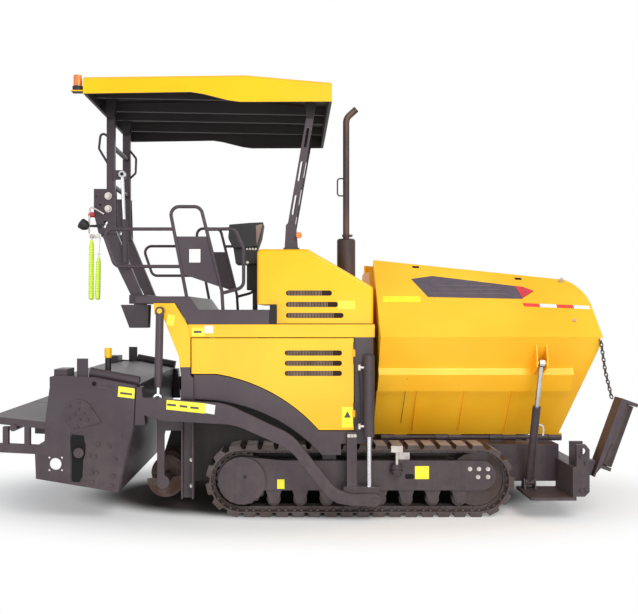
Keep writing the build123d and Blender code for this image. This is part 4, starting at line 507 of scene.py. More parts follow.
def bent_bar(name, points, radius, material, body):
    """A round bar or pipe along a smooth line through points."""
    curve = drawn(name, "NURBS", points)
    curve.bevel_depth = radius
    curve.bevel_resolution = 5
    curve.use_fill_caps = True
    curve.splines[0].order_u = 3
    curve.splines[0].use_endpoint_u = True
    mesh = taken(added(name, curve))
    return hold(added(name, mesh), body, material)


# ---------------------------------------- repeating pieces
class Pattern(Graph):
    """A Geometry Nodes tree in the making, with named inputs."""

    def __init__(self, name, **sizes):
        self.tree = bpy.data.node_groups.new(name, "GeometryNodeTree")
        face = self.tree.interface
        face.new_socket("Geometry", in_out="INPUT", socket_type="NodeSocketGeometry")
        for key, value in sizes.items():
            made = face.new_socket(key, in_out="INPUT", socket_type="NodeSocketFloat")
            made.default_value = value
        face.new_socket("Finish", in_out="INPUT", socket_type="NodeSocketMaterial")
        face.new_socket("Geometry", in_out="OUTPUT", socket_type="NodeSocketGeometry")
        self.given = self.tree.nodes.new("NodeGroupInput")

    def size(self, key):
        """A named input of the tree."""
        return self.given.outputs[key]

    def maths(self, operation, *values):
        made = self.node("ShaderNodeMath", {"operation": operation}, dict(enumerate(values)))
        return made.outputs[0]

    def vector(self, x=0.0, y=0.0, z=0.0):
        return self.node("ShaderNodeCombineXYZ", {}, {0: x, 1: y, 2: z}).outputs[0]

    def times(self, key, share):
        """A share of a named input."""
        return self.maths("MULTIPLY", self.size(key), share)

    def moved(self, shape, **values):
        """A shape after a Translation, Rotation or Scale."""
        return self.node("GeometryNodeTransform", {}, {0: shape, **values}).outputs[0]

    def facing(self, **settings):
        """The turn that lays an axis along the facing of a point."""
        values = {0: "facing"}
        kept = self.node("GeometryNodeInputNamedAttribute", {"data_type": "FLOAT_VECTOR"}, values)
        values = {"Vector": kept.outputs[0]}
        return self.node("FunctionNodeAlignRotationToVector", settings, values).outputs[0]

    def joined(self, *shapes):
        made = self.tree.nodes.new("GeometryNodeJoinGeometry")
        for shape in shapes:
            self.tree.links.new(shape, made.inputs[0])
        return made.outputs[0]

    def close(self, points, shape, **values):
        """Sets the shape on each point, makes it real and gives it the finish."""
        values = {0: points, "Instance": shape, **values}
        instances = self.node("GeometryNodeInstanceOnPoints", {}, values).outputs[0]
        real = self.node("GeometryNodeRealizeInstances", {}, {0: instances}).outputs[0]
        values = {0: real, "Material": self.size("Finish")}
        painted = self.node("GeometryNodeSetMaterial", {}, values)
        output = self.tree.nodes.new("NodeGroupOutput")
        self.tree.links.new(painted.outputs[0], output.inputs[0])

    def make(self, name, base, material, body, slot, **sizes):
        """Runs the tree on a base mesh or curve, and leaves a plain piece."""
        carrier = added(name, base)
        modifier = carrier.modifiers.new("pattern", "NODES")
        modifier.node_group = self.tree
        for entry in self.tree.interface.items_tree:
            if entry.item_type == "SOCKET" and entry.in_out == "INPUT":
                if entry.name in sizes:
                    modifier[entry.identifier] = float(sizes[entry.name])
                elif entry.name == "Finish":
                    modifier[entry.identifier] = material
        mesh = taken(carrier)
        mesh.set_sharp_from_angle(angle=SMOOTH_ANGLE)
        return hold(added(name, mesh), body, material)


HEX_CORNER = 0.577  # from a hexagon's middle to a corner, as a share of its width over flats


def bolt_pattern():
    """Hexagon heads on washers, at each point, along its facing."""
    p = Pattern("hex_bolts", Across=0.03, Head=0.012, Washer=0.004)
    corner = p.times("Across", HEX_CORNER)
    head = p.node(
        "GeometryNodeMeshCone",
        {"fill_type": "NGON"},
        {
            "Vertices": 6,
            "Radius Top": p.maths("MULTIPLY", corner, 0.9),
            "Radius Bottom": corner,
            "Depth": p.size("Head"),
        },
    )
    washer = p.node(
        "GeometryNodeMeshCylinder",
        {"fill_type": "NGON"},
        {"Vertices": 16, "Radius": p.maths("MULTIPLY", corner, 1.35), "Depth": p.size("Washer")},
    )
    lifted = p.moved(head.outputs[0], Translation=p.vector(z=p.size("Washer")))
    seated = p.moved(washer.outputs[0], Translation=p.vector(z=p.times("Washer", 0.5)))
    p.close(p.given.outputs[0], p.joined(lifted, seated), Rotation=p.facing(axis="Z"))
    return p


def chain_pattern():
    """Oval links along a line, each turned a quarter from the last."""
    p = Pattern("chain_links", Pitch=0.03, Wire=0.0045, Width=0.02)
    ring = p.node(
        "GeometryNodeCurvePrimitiveCircle", {"mode": "RADIUS"}, {"Resolution": 12, "Radius": 0.5}
    )
    length = p.maths("ADD", p.size("Pitch"), p.times("Wire", 2.0))
    oval = p.moved(ring.outputs[0], Scale=p.vector(p.size("Width"), length, 1.0))
    wire = p.node(
        "GeometryNodeCurvePrimitiveCircle",
        {"mode": "RADIUS"},
        {"Resolution": 6, "Radius": p.size("Wire")},
    )
    link = p.node("GeometryNodeCurveToMesh", {}, {0: oval, 1: wire.outputs[0]})
    upright = p.moved(link.outputs[0], Rotation=(math.pi / 2, 0, 0))
    values = {0: p.given.outputs[0], "Length": p.size("Pitch")}
    points = p.node("GeometryNodeCurveToPoints", {"mode": "LENGTH"}, values)
    odd = p.maths("MODULO", p.node("GeometryNodeInputIndex").outputs[0], 2.0)
    quarter = p.vector(z=p.maths("MULTIPLY", odd, math.pi / 2))
    values = {"Vector": points.outputs["Tangent"]}
    along = p.node("FunctionNodeAlignRotationToVector", {"axis": "Z"}, values)
    values = {0: along.outputs[0], 1: quarter}
    twisted = p.node("FunctionNodeRotateRotation", {"rotation_space": "LOCAL"}, values)
    p.close(points.outputs[0], upright, Rotation=twisted.outputs[0])
    return p


def bar_row_pattern():
    """A small upright bar at each point."""
    p = Pattern("bar_row", Width=0.004, Deep=0.004, Height=0.04)
    size = p.vector(p.size("Width"), p.size("Deep"), p.size("Height"))
    bar = p.node("GeometryNodeMeshCube", {}, {"Size": size})
    p.close(p.given.outputs[0], bar.outputs[0])
    return p


def track_link_pattern():
    """Side plates and a pin bush for each link, spaced round a closed line."""
    p = Pattern("track_links", Pitch=0.14, Plate=0.014, Depth=0.038, Apart=0.13)
    size = p.vector(p.times("Pitch", 0.62), p.size("Plate"), p.size("Depth"))
    plate = p.node("GeometryNodeMeshCube", {}, {"Size": size})
    boss = p.node(
        "GeometryNodeMeshCylinder",
        {"fill_type": "NGON"},
        {"Vertices": 12, "Radius": p.times("Depth", 0.56), "Depth": p.times("Plate", 1.7)},
    )
    across = p.moved(
        boss.outputs[0], Rotation=(math.pi / 2, 0, 0), Translation=p.vector(p.times("Pitch", 0.5))
    )
    one = p.joined(plate.outputs[0], across)
    pair = p.joined(
        *(p.moved(one, Translation=p.vector(y=p.times("Apart", half))) for half in (0.5, -0.5))
    )
    p.close(p.given.outputs[0], pair, Rotation=p.facing(axis="X", pivot_axis="Y"))
    return p


def marked_points(name, places):
    """A mesh of loose points with a facing for each, from (place, facing) pairs."""
    mesh = bpy.data.meshes.new(name)
    mesh.from_pydata([place for place, facing in places], [], [])
    facing = mesh.attributes.new("facing", "FLOAT_VECTOR", "POINT")
    for n, (place, direction) in enumerate(places):
        facing.data[n].vector = direction
    return mesh


BOLTS = bolt_pattern()
CHAIN = chain_pattern()
BARS = bar_row_pattern()
LINKS = track_link_pattern()


# ---------------------------------------- the frame's nodes, finished
TRACK_Y = 0.88
SPROCKET_X, IDLER_X, WHEEL_Z, PITCH_RADIUS = -0.631, 1.413, 0.311, 0.261
LINK_COUNT = 41
TRACK_MIDDLE, TRACK_HALF = (IDLER_X + SPROCKET_X) / 2, (IDLER_X - SPROCKET_X) / 2
SHOE_FACE = 0.305  # faces beyond this reach from the wheels are the outsides of shoes
ROOF_REAR, ROOF_FRONT, ROOF_SIDE, ROOF_TOP = -1.975, 0.135, 1.09, 3.7
BEACON_FOOT = 3.705


def below(limit):
    """A test for the faces under a height."""
    return lambda middle, normal: middle.z < limit


def within(low, high):
    """A test for the faces in a box."""
    return lambda middle, normal: all(a <= b <= c for a, b, c in zip(low, middle, high))


# the canopy faces that take painted shade
def underneath(middle, normal):
    """Every canopy face apart from its top and the outside of its rim."""
    rear_rim = normal.x < -0.5 and middle.x < ROOF_REAR
    front_rim = normal.x > 0.5 and middle.x > ROOF_FRONT
    side_rim = abs(middle.y) > ROOF_SIDE and middle.y * normal.y > 0
    top = normal.z > 0.3 and middle.z > ROOF_TOP
    return not (top or rear_rim or front_rim or side_rim)


def pad_tip(middle, normal):
    """The outer faces of the track shoes."""
    beyond = max(abs(middle.x - TRACK_MIDDLE) - TRACK_HALF, 0.0)
    return math.hypot(beyond, middle.z - WHEEL_Z) > SHOE_FACE


KNUCKLES = within((0, -0.56, 0.5), (3, 0.56, 0.655))
GREASE_COVER = within((0.64, -1.2, 0.485), (0.78, 1.2, 0.7))
LEVEL_RODS = within((0.43, -1.17, 0.2), (0.49, 1.17, 1.2))
SIDE_FINISHES = (  # node without its side, material, edge, any (other material, its faces)
    ("hopper_wing", WING_YELLOW, 0.005, (DARK, KNUCKLES)),
    ("door", YELLOW, 0.003),
    ("track_frame", DARK, 0.004, (ZINC, GREASE_COVER)),
    ("running_gear", TRACK, 0.003),
    ("track", TRACK, 0.004, (PADS, pad_tip)),
    ("auger", SCREW, 0.002),
    ("roller_bracket", DARK, 0.004),
    ("push_roller", ROLLER, 0.004),
    ("wing_barrel", DARK, 0.002),
    ("wing_rod", CHROME, 0.001),
    ("extension", DARK, 0.004),
)
FINISHES = (  # nodes, material, edge, any (other material, its faces)
    ("deck_skirts fenders front_frame hopper_sills mast_base", DARK, 0.004),
    ("operator_deck rear_pillars screed_body strut_brackets tow_arms", DARK, 0.004),
    ("canopy_barrels canopy_struts level_barrels lift_barrels masts railings", DARK, 0.002),
    ("tow_slides", DARK, 0.004, (CHROME, LEVEL_RODS)),
    ("canopy_rods lift_rods", CHROME, 0.001),
    ("hood side_frames", YELLOW, 0.004),
    ("hopper_wall", WING_YELLOW, 0.002),
    ("conveyor", TRACK, 0.003),
    # painted shade: near-black enamel on parts that stand in shadow inside the machine
    ("auger_case bulkheads chassis_frame engine", PAINTED_SHADE, 0.004),
    ("muffler", EXHAUST, 0.004),
    ("exhaust_pipe", EXHAUST, 0.002),
    ("console", BLACK, 0.006),
    ("beacon", AMBER, 0.003, (BLACK, below(BEACON_FOOT))),
    # the canopy's underside and the inside of its rim take painted shade
    ("canopy_roof", YELLOW, 0.004, (PAINTED_SHADE, underneath)),
)
for side, sign in SIDES:
    for node, material, edge, *others in SIDE_FINISHES:
        finished(f"{node}_{side}", material, edge, others)
for nodes, material, edge, *others in FINISHES:
    for node in nodes.split():
        finished(node, material, edge, others)

# ---------------------------------------- places on the machine
OUTSIDE = 2.0
FILM_FOOT, FILM_FACE = -0.001, 0.0012
OVER_FILM = 0.0012
HOLE_SIDES = 16
surfaces = {}


def spot(node, x, z, sign=-1):
    """Where a line along Y first meets a node from outside, and which way that face looks."""
    if node not in surfaces:
        mesh = frame["nodes"][node].data
        corners = [corner.co for corner in mesh.vertices]
        surfaces[node] = BVHTree.FromPolygons(corners, [face.vertices for face in mesh.polygons])
    start = Vector((x, sign * OUTSIDE, z))
    place, normal = surfaces[node].ray_cast(start, Vector((0, -sign, 0)))[:2]
    if place is None:
        raise ValueError(f"nothing of {node} at {x} {z}")
    return place, normal if normal.y * sign > 0 else -normal


def patch(rear, front, low, high):
    """The corners of an upright rectangle in X and Z."""
    return [(rear, low), (front, low), (front, high), (rear, high)]


def round_hole(x, z, wide, tall, shift=0.0, apart=0.0):
    """Corners round a hole in X and Z, whose two halves lie apart where it is a long one."""
    corners = []
    for n in range(HOLE_SIDES):
        turn = math.tau * (n + shift) / HOLE_SIDES
        across = wide * math.cos(turn) + math.copysign(apart, math.cos(turn))
        corners.append((x + across, z + tall * math.sin(turn)))
    return corners


def side_film(name, node, corners, material, sign=-1, slot="paint_yellow", lift=0.0):
    """A thin film on a node's outer side, from corners in X and Z."""
    film = Stock()
    laid = [spot(node, x, z, sign) for x, z in corners]
    rings = [
        [film.shape.verts.new(place + normal * (lift + height)) for place, normal in laid]
        for height in (FILM_FOOT, FILM_FACE)
    ]
    return film.walled(rings).piece(name, material, BODY_OF[node], slot)


def side_hole_shade(name, node, corners, sign):
    """A dark film of painted shade for a hole that is open on the real machine."""
    side_film(name, node, corners, HOLE_SHADE, sign, "black_plastic")


def side_bolts(name, node, places, sign=-1, across=0.03, head=0.014, material=ZINC):
    """Bolt heads on a node's outer side, at places in X and Z."""
    seats = [spot(node, x, z, sign) for x, z in places]
    base = marked_points(name, [(tuple(place), tuple(normal)) for place, normal in seats])
    sizes = {"Across": across, "Head": head, "Washer": across * 0.12}
    return BOLTS.make(name, base, material, BODY_OF[node], "paint_dark", **sizes)


# ---------------------------------------- tracks
LINK_OUT, NUT_OUT = -0.007, 0.002
NUT_STEP, NUT_APART = 0.03, 0.105
LINK_SIZES = {"Plate": 0.011, "Depth": 0.038, "Apart": 0.122}
NUT_SIZES = {"Across": 0.022, "Head": 0.011, "Washer": 0.002}
FRAME_BOLTS = [(1.35, 0.408), (1.428, 0.408), (1.507, 0.408), (1.42, 0.339), (1.507, 0.339)]
GREASE_HOLE = round_hole(0.8245, 0.343, 0.0215, 0.022, 0.5, 0.018)
DRIVE_PLUG = [(-0.603, 0.345)]


def loop_place(distance, out):
    """A point in X and Z by its place round the pitch line, and the way the line runs there."""
    run, arc = IDLER_X - SPROCKET_X, math.pi * PITCH_RADIUS
    if distance < run:
        middle, turn = SPROCKET_X + distance, 0.0
    elif distance < run + arc:
        middle, turn = IDLER_X, (distance - run) / PITCH_RADIUS
    elif distance < 2 * run + arc:
        middle, turn = IDLER_X - (distance - run - arc), math.pi
    else:
        middle, turn = SPROCKET_X, math.pi + (distance - 2 * run - arc) / PITCH_RADIUS
    reach = PITCH_RADIUS + out
    place = middle + reach * math.sin(turn), WHEEL_Z - reach * math.cos(turn)
    return place, (math.cos(turn), math.sin(turn)), (-math.sin(turn), math.cos(turn))


loop_pitch = (2 * (IDLER_X - SPROCKET_X) + 2 * math.pi * PITCH_RADIUS) / LINK_COUNT
for side, sign in SIDES:
    links, nuts = [], []
    for n in range(LINK_COUNT):
        (x, z), (run_x, run_z), _ = loop_place(n * loop_pitch, LINK_OUT)
        links.append(((x, sign * TRACK_Y, z), (run_x, 0, run_z)))
        for step in (-NUT_STEP, NUT_STEP):
            (x, z), _, (in_x, in_z) = loop_place((n + 0.5) * loop_pitch + step, NUT_OUT)
            for apart in (-NUT_APART, NUT_APART):
                nuts.append(((x, sign * TRACK_Y + apart, z), (in_x, 0, in_z)))
    name = f"track_links_{side}"
    base = marked_points(name, links)
    LINKS.make(name, base, TRACK, "body", "steel_track", Pitch=loop_pitch, **LINK_SIZES)
    name = f"shoe_nuts_{side}"
    BOLTS.make(name, marked_points(name, nuts), TRACK, "body", "steel_track", **NUT_SIZES)
    node = f"track_frame_{side}"
    side_bolts(f"frame_bolts_{side}", node, FRAME_BOLTS, sign, 0.025)
    # painted shade in the grease hole
    side_hole_shade(f"grease_hole_{side}", node, GREASE_HOLE, sign)
    side_bolts(f"drive_plug_{side}", node, DRIVE_PLUG, sign, 0.02, 0.006, BLACK)

# ---------------------------------------- louvres and lids
SLOTS = (  # node, place of its face in Y, (rear, front, height) of each slot
    ("hood", 0.993, ((-0.249, 0.150, 1.937), (-0.249, 0.202, 1.838), (-0.249, 0.251, 1.743))),
    ("door", 1.048, ((-0.259, 0.234, 1.420), (-0.259, 0.234, 1.332), (-0.259, 0.234, 1.245))),
)
SLOT_HALF, SLOT_MARGIN, SLOT_SHADE_HALF = 0.026, 0.004, 0.001
WIRE_PITCH, FIRST_WIRE, BARE_END, WIRE_OUT = 0.013, 0.02, 0.09, 0.003
WIRE_SIZES = {"Width": 0.005, "Deep": 0.003, "Height": 0.05}
SEALS = (  # rear, front, inner, outer, low, high
    (-0.328, 0.508, 1.0, 1.004, 1.667, 1.673),
    (-0.388, -0.330, 1.002, 1.057, 1.668, 1.836),
)
for side, sign in SIDES:
    for name, face, slots in SLOTS:
        body = "body" if name == "hood" else BODY_OF[f"door_{side}"]
        # a dark patch of painted shade behind each row of grille bars, for the shadowed inside of
        # the slot
        shaded_slots = Stock()
        points = []
        for rear, front, z in slots:
            low = (rear - SLOT_MARGIN, sign * face - SLOT_SHADE_HALF, z - SLOT_HALF)
            high = (front + SLOT_MARGIN, sign * face + SLOT_SHADE_HALF, z + SLOT_HALF)
            shaded_slots.block(low, high)
            for n in range(int((front - rear - BARE_END) / WIRE_PITCH)):
                x = rear + FIRST_WIRE + n * WIRE_PITCH
                points.append((x, sign * (face + WIRE_OUT), z))
        shaded_slots.piece(f"{name}_slots_{side}", SLOT_SHADE, body, "paint_dark")
        name = f"{name}_grille_{side}"
        rows = bpy.data.meshes.new(name)
        rows.from_pydata(points, [], [])
        BARS.make(name, rows, GRILLE, body, "steel_bright", **WIRE_SIZES)
    seal = Stock()
    for rear, front, inner, outer, low, high in SEALS:
        right, left = sorted((sign * inner, sign * outer))
        seal.block((rear, right, low), (front, left, high))
    seal.piece(f"hood_seal_{side}", RUBBER, "body", "black_plastic", 0.001)

# ---------------------------------------- films on the right side
WING = "hopper_wing_right"
DECAL = [
    (0.874, 2.069), (1.0, 1.904), (1.822, 1.887), (1.949, 1.958), (1.861, 1.995), (1.068, 2.097),
]
DECAL_END = [(1.83, 1.893), (1.949, 1.958), (1.861, 1.995), (1.79, 2.004)]
STRIPE = [(1.824, 1.821), (2.392, 1.797), (2.387, 1.826), (1.815, 1.851)]
side_film("wing_panel", WING, DECAL, PANEL_FILM)
side_film("wing_panel_end", WING, DECAL_END, RED_FILM, lift=OVER_FILM)
for n in range(3):
    rear, front = 1.02 + n * 0.03, 1.70 - n * 0.06
    low = 1.935 + n * 0.036
    line = [(rear, low), (front, low - 0.004), (front, low + 0.002), (rear, low + 0.006)]
    side_film(f"wing_panel_line_{n}", WING, line, PANEL_LINE, lift=OVER_FILM)
side_film("wing_stripe", WING, STRIPE, SAFETY)
LABELS = {  # name: (node, corners in X and Z, material)
    "wing_label": (WING, patch(0.6, 0.93, 1.86, 1.912), LABEL),
    "hood_label": ("hood", patch(0.204, 0.349, 1.80, 1.87), LABEL),
    "door_label": ("door_right", patch(0.233, 0.328, 0.78, 0.955), LABEL),
    "band_label": ("side_frames", patch(-1.057, -0.95, 1.567, 1.638), LABEL),
    "band_label_end": ("side_frames", patch(-0.948, -0.874, 1.59, 1.655), WHITE),
    "lift_label": (
        "side_frames", [(-1.275, 1.665), (-1.215, 1.65), (-1.2, 1.74), (-1.26, 1.755)], LABEL
    ),
    "beam_label": ("track_frame_right", patch(0.872, 0.994, 0.321, 0.434), LABEL),
    "drive_label": ("track_frame_right", patch(-0.325, -0.262, 0.236, 0.318), LABEL),
    "arm_label": (
        "tow_arms", [(-1.252, 0.955), (-0.929, 0.92), (-0.921, 1.005), (-1.25, 1.035)], LABEL
    ),
    "arm_label_end": (
        "tow_arms", [(-0.927, 0.925), (-0.848, 0.912), (-0.84, 0.99), (-0.919, 1.004)], WHITE
    ),
    "screed_label": (
        "extension_right", [(-1.66, 1.063), (-1.52, 1.045), (-1.516, 1.13), (-1.653, 1.15)], LABEL
    ),
    "rail_label": ("railings", patch(-1.083, -0.987, 2.2, 2.315), WHITE),
}
for name, (node, corners, material) in LABELS.items():
    side_film(name, node, corners, material)
MARKS = {  # name: (node, corners in X and Z)
    f"arm_label_mark_{n}": (
        "tow_arms", [(rear, z - 0.018), (front, z - 0.026), (front, z - 0.008), (rear, z)]
    )
    for n, (rear, front, z) in enumerate(
        ((-1.245, -1.17, 1.005), (-1.14, -1.075, 0.993), (-1.05, -0.98, 0.981))
    )
}
MARKS["band_label_mark"] = "side_frames", patch(-1.04, -0.975, 1.592, 1.612)
MARKS["door_label_mark"] = "door_right", [(0.252, 0.865), (0.309, 0.865), (0.2805, 0.92)]
MARKS["screed_label_mark"] = (
    "extension_right", [(-1.64, 1.085), (-1.54, 1.073), (-1.538, 1.09), (-1.637, 1.102)]
)
for name, (node, corners) in MARKS.items():
    side_film(name, node, corners, INK, lift=OVER_FILM)

# ---------------------------------------- hopper
LIFTING_SLOTS = ((0.933, 2.183), (1.838, 2.072))
CATCHES = ((2.215, 2.04, 0.026), (2.214, 1.691, 0.016))  # X, Z and size of each
WING_SEAM = [(0.79, 0.76), (0.794, 0.76), (0.80, 1.20), (0.796, 1.20)]
CHAIN_LINE = ((2.398, 1.238, 1.53), (2.44, 1.22, 1.28), (2.503, 1.19, 1.06))
CHAIN_SIZES = {"Pitch": 0.032, "Wire": 0.0055, "Width": 0.025}
CYLINDER_PIPE = ((1.947, 0.795), (1.978, 0.79), (1.988, 0.76), (1.985, 0.70))
for side, sign in SIDES:
    node = f"hopper_wing_{side}"
    body = BODY_OF[node]
    for n, (x, z) in enumerate(LIFTING_SLOTS):
        rear, front = x - 0.03, x + 0.03
        slot = [(rear, z - 0.009), (front, z - 0.012), (front, z + 0.007), (rear, z + 0.01)]
        # painted shade in the lifting slots
        side_hole_shade(f"lifting_slot_{n}_{side}", node, slot, sign)
    catches = Stock()
    for x, z, size in CATCHES:
        place, normal = spot(node, x, z, sign)
        catches.bar(place - normal * 0.004, place + normal * size * 1.6, size * 0.55, 16)
        middle, reach = place + normal * size, Vector((size, 0, 0))
        catches.bar(middle - reach, middle + reach, size * 0.36, 12)
    catches.piece(f"wing_catches_{side}", ZINC, body, "steel_bright")
    side_film(f"wing_seam_{side}", node, WING_SEAM, SEAM, sign)
    eye = Stock()
    eye.bar((2.388, sign * 1.238, 1.545), (2.408, sign * 1.238, 1.545), 0.017, 16)
    eye.piece(f"chain_eye_{side}", ZINC, body, "steel_bright")
    name = f"bracket_chain_{side}"
    chain = drawn(name, "POLY", [(x, sign * y, z) for x, y, z in CHAIN_LINE])
    CHAIN.make(name, chain, CHAIN_STEEL, body, "steel_track", **CHAIN_SIZES)
    pipe = [(x, sign * (0.99 - (0.8 - z) * 0.1), z) for x, z in CYLINDER_PIPE]
    body = BODY_OF[f"wing_barrel_{side}"]
    bent_bar(f"cylinder_pipe_{side}", pipe, 0.009, ZINC, body)

# ---------------------------------------- chassis sides
LEVEL_Y = 1.14
LEVEL_PIPE = ((0.378, 1.28), (0.380, 1.15), (0.392, 0.95), (0.380, 0.82))
FITTING_HEIGHTS = (1.30, 0.80)
GUIDE_BOLTS = [(0.29, 0.715), (0.316, 0.715), (0.342, 0.715)]
PILLAR_PIN, PILLAR_BOLTS = [(-1.09, 0.86)], [(-1.065, 0.494), (-1.065, 0.27)]
PLATE_CORNERS = [(2.245, 0.27), (2.245, 0.56), (2.285, 0.27), (2.285, 0.50)]
for side, sign in SIDES:
    y = sign * LEVEL_Y
    fittings = Stock()
    for z in FITTING_HEIGHTS:
        fittings.bar((0.418, y, z), (0.372, y, z), 0.011, 12)
        fittings.bar((0.378, y, z - 0.024), (0.378, y, z + 0.024), 0.013, 12)
    fittings.piece(f"level_fittings_{side}", ZINC, "body", "steel_bright")
    pipe = [(x, y, z) for x, z in LEVEL_PIPE]
    bent_bar(f"level_pipe_{side}", pipe, 0.006, RUBBER, "body")
    side_bolts(f"guide_bolts_{side}", "fenders", GUIDE_BOLTS, sign, 0.02, 0.008)
    side_bolts(f"pillar_pin_{side}", "rear_pillars", PILLAR_PIN, sign, 0.034, 0.014)
    side_bolts(f"pillar_bolts_{side}", "rear_pillars", PILLAR_BOLTS, sign, 0.022, 0.03)
    name = f"frame_plate_bolts_{side}"
    side_bolts(name, "front_frame", PLATE_CORNERS, sign, 0.026, 0.012, DARK)

# ---------------------------------------- screed
PLATE_BOLTS = [
    (-1.823, 0.662), (-1.73, 0.645), (-1.902, 0.57), (-1.851, 0.56), (-1.678, 0.535),
    (-1.875, 0.427), (-1.836, 0.424), (-1.697, 0.395), (-1.874, 0.346), (-1.709, 0.314),
]
COVER_BOLTS = [
    (-2.062, 0.985), (-1.983, 1.011), (-1.99, 0.958), (-1.889, 0.961), (-2.019, 0.915),
    (-1.943, 0.919), (-2.066, 0.882), (-1.981, 0.873), (-1.909, 0.87), (-1.997, 0.812),
]
RECESS = [
    (-2.045, 0.745), (-1.945, 0.735), (-1.94, 0.686), (-1.93, 0.66), (-1.934, 0.574),
    (-1.95, 0.532), (-1.957, 0.39), (-1.985, 0.345), (-2.035, 0.345), (-2.05, 0.37),
    (-2.048, 0.56), (-2.06, 0.70),
]
SEAM_LINE = [(-1.93, 0.747), (-1.56, 0.70), (-1.56, 0.695), (-1.93, 0.742)]
SEAM_TICK = patch(-1.625, -1.619, 0.705, 0.757)
STEP_TREAD = [(-1.809, 1.185), (-1.67, 1.165), (-1.678, 1.119), (-1.818, 1.14)]
LIFTING_HOLE = round_hole(-1.858, 1.17, 0.02, 0.02)
for side, sign in SIDES:
    node = f"extension_{side}"
    side_bolts(f"screed_plate_bolts_{side}", node, PLATE_BOLTS, sign, 0.026, 0.011, DARK)
    side_bolts(f"screed_cover_bolts_{side}", node, COVER_BOLTS, sign, 0.022, 0.009, DARK)
    # painted shade in the recess
    side_hole_shade(f"screed_recess_{side}", node, RECESS, sign)
    side_film(f"screed_seam_{side}", node, SEAM_LINE, SEAM, sign)
    side_film(f"screed_tick_{side}", node, SEAM_TICK, SEAM, sign)
    side_film(f"screed_tread_{side}", node, STEP_TREAD, TREAD, sign)
    # painted shade in the lifting hole
    side_hole_shade(f"screed_hole_{side}", node, LIFTING_HOLE, sign)

# ---------------------------------------- station and canopy
strut_lamps = Stock()
for side, sign in SIDES:
    strut_lamps.bar((-0.136, sign * 0.955, 2.44), (-0.136, sign * 0.985, 2.44), 0.027)
strut_lamps.piece("strut_lamps", AMBER, "body", "amber_lens")
side_bolts("mast_bolts", "mast_base", [(-1.906, 2.85), (-1.906, 2.731)], -1, 0.044, 0.024)
tail_lamp = Stock()
profile = [(0, 0.026), (0.045, 0.026), (0.06, 0.014)]
tail_lamp.turned((-2.03, -0.445, 2.675), (-2.09, -0.445, 2.675), profile)
tail_lamp.piece("tail_lamp", RED_LENS, "body", "amber_lens")

LAMP_Y = 0.495
DRUM = [(0, 0.044), (0.006, 0.05), (0.05, 0.048), (0.082, 0.026)]
DRUM_GLASS = [(0, 0.043), (0.004, 0.036)]
LAMP_ARM = [(-2.1, 2.562), (-2.075, 2.58), (-1.965, 2.585), (-1.965, 2.555)]
housings, glasses = Stock(), Stock()
for side, sign in SIDES:
    y = sign * LAMP_Y
    housings.turned((-2.15, y, 2.595), (-2.08, y, 2.552), DRUM, 28)
    housings.prism(LAMP_ARM, sign * 0.44, sign * 0.452)
    housings.bar((-2.1, sign * 0.442, 2.57), (-2.1, sign * 0.5, 2.57), 0.01)
    glasses.turned((-2.151, y, 2.5955), (-2.154, y, 2.5975), DRUM_GLASS, 28)
body = BODY_OF["work_lamps"]
work_lamps = housings.piece("work_lamps_finished", BLACK, body, SLOT_OF["work_lamps"])
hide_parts("work_lamps")
glasses.piece("work_lamp_glasses", CLEAR_LENS, body, "black_plastic")

BATON_FOOT, BATON_Y = 1.885, -0.468
sleeves, loops = Stock(), Stock()
for x, top, lean in ((-2.058, 2.44, 0.004), (-2.0, 2.28, 0.012)):
    length = top - BATON_FOOT
    profile = [(0, 0.012), (0.01, 0.024), (0.05, 0.026), (length - 0.05, 0.022), (length, 0.012)]
    head = x + lean
    sleeves.turned((x, BATON_Y, BATON_FOOT), (head, BATON_Y, top), profile, 20)
    for start, end, radius in (
        ((head, BATON_Y, top - 0.01), (head, BATON_Y, top + 0.035), 0.006),
        ((head - 0.018, BATON_Y, top + 0.03), (head + 0.018, BATON_Y, top + 0.03), 0.005),
        ((head, BATON_Y, top + 0.03), (head + 0.01, -0.446, 2.47), 0.004),
    ):
        loops.bar(start, end, radius, 10)
loops.block((-2.075, -0.452, 2.455), (-1.98, -0.444, 2.495))
body = BODY_OF["marker_batons"]
batons = sleeves.piece("marker_batons_finished", BATON, body, SLOT_OF["marker_batons"])
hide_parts("marker_batons")
loops.piece("baton_hooks", ZINC, body, "steel_bright")

LAMP_HOOP = ((-2.078, 2.50), (-2.076, 2.66), (-2.071, 2.745), (-2.03, 2.735), (-1.94, 2.68))
hoop = [(x, -0.462, z) for x, z in LAMP_HOOP]
bent_bar("lamp_hoop", hoop, 0.008, ZINC, "body")
CHEEK = [(-0.522, 2.55), (-0.462, 2.566), (-0.486, 2.47), (-0.515, 2.37)]
STUDS = [(-0.63 + n * 0.026, 2.343) for n in range(5)]
SCREEN = [(-0.775, 2.445), (-0.7655, 2.535), (-0.763, 2.535), (-0.77, 2.445)]
side_film("console_cheek", "console", CHEEK, TAN, slot="black_plastic")
side_bolts("console_studs", "console", STUDS, -1, 0.013, 0.005)
side_bolts("console_knob", "console", [(-0.60, 2.22)], -1, 0.018, 0.01)
screen = Stock()
screen.prism(SCREEN, -0.66, -0.34)
screen.piece("console_screen", GLASS, "body", "black_plastic")
for name, low, high, radius, material, slot in (
    ("screed_post", 1.18, 1.385, 0.026, BLACK, "black_plastic"),
    ("screed_post_cap", 1.375, 1.462, 0.031, YELLOW, "paint_yellow"),
):
    post = Stock()
    post.bar((-1.79, -1.0, low), (-1.79, -1.0, high), radius)
    post.piece(name, material, BODY_OF["extension_right"], slot)

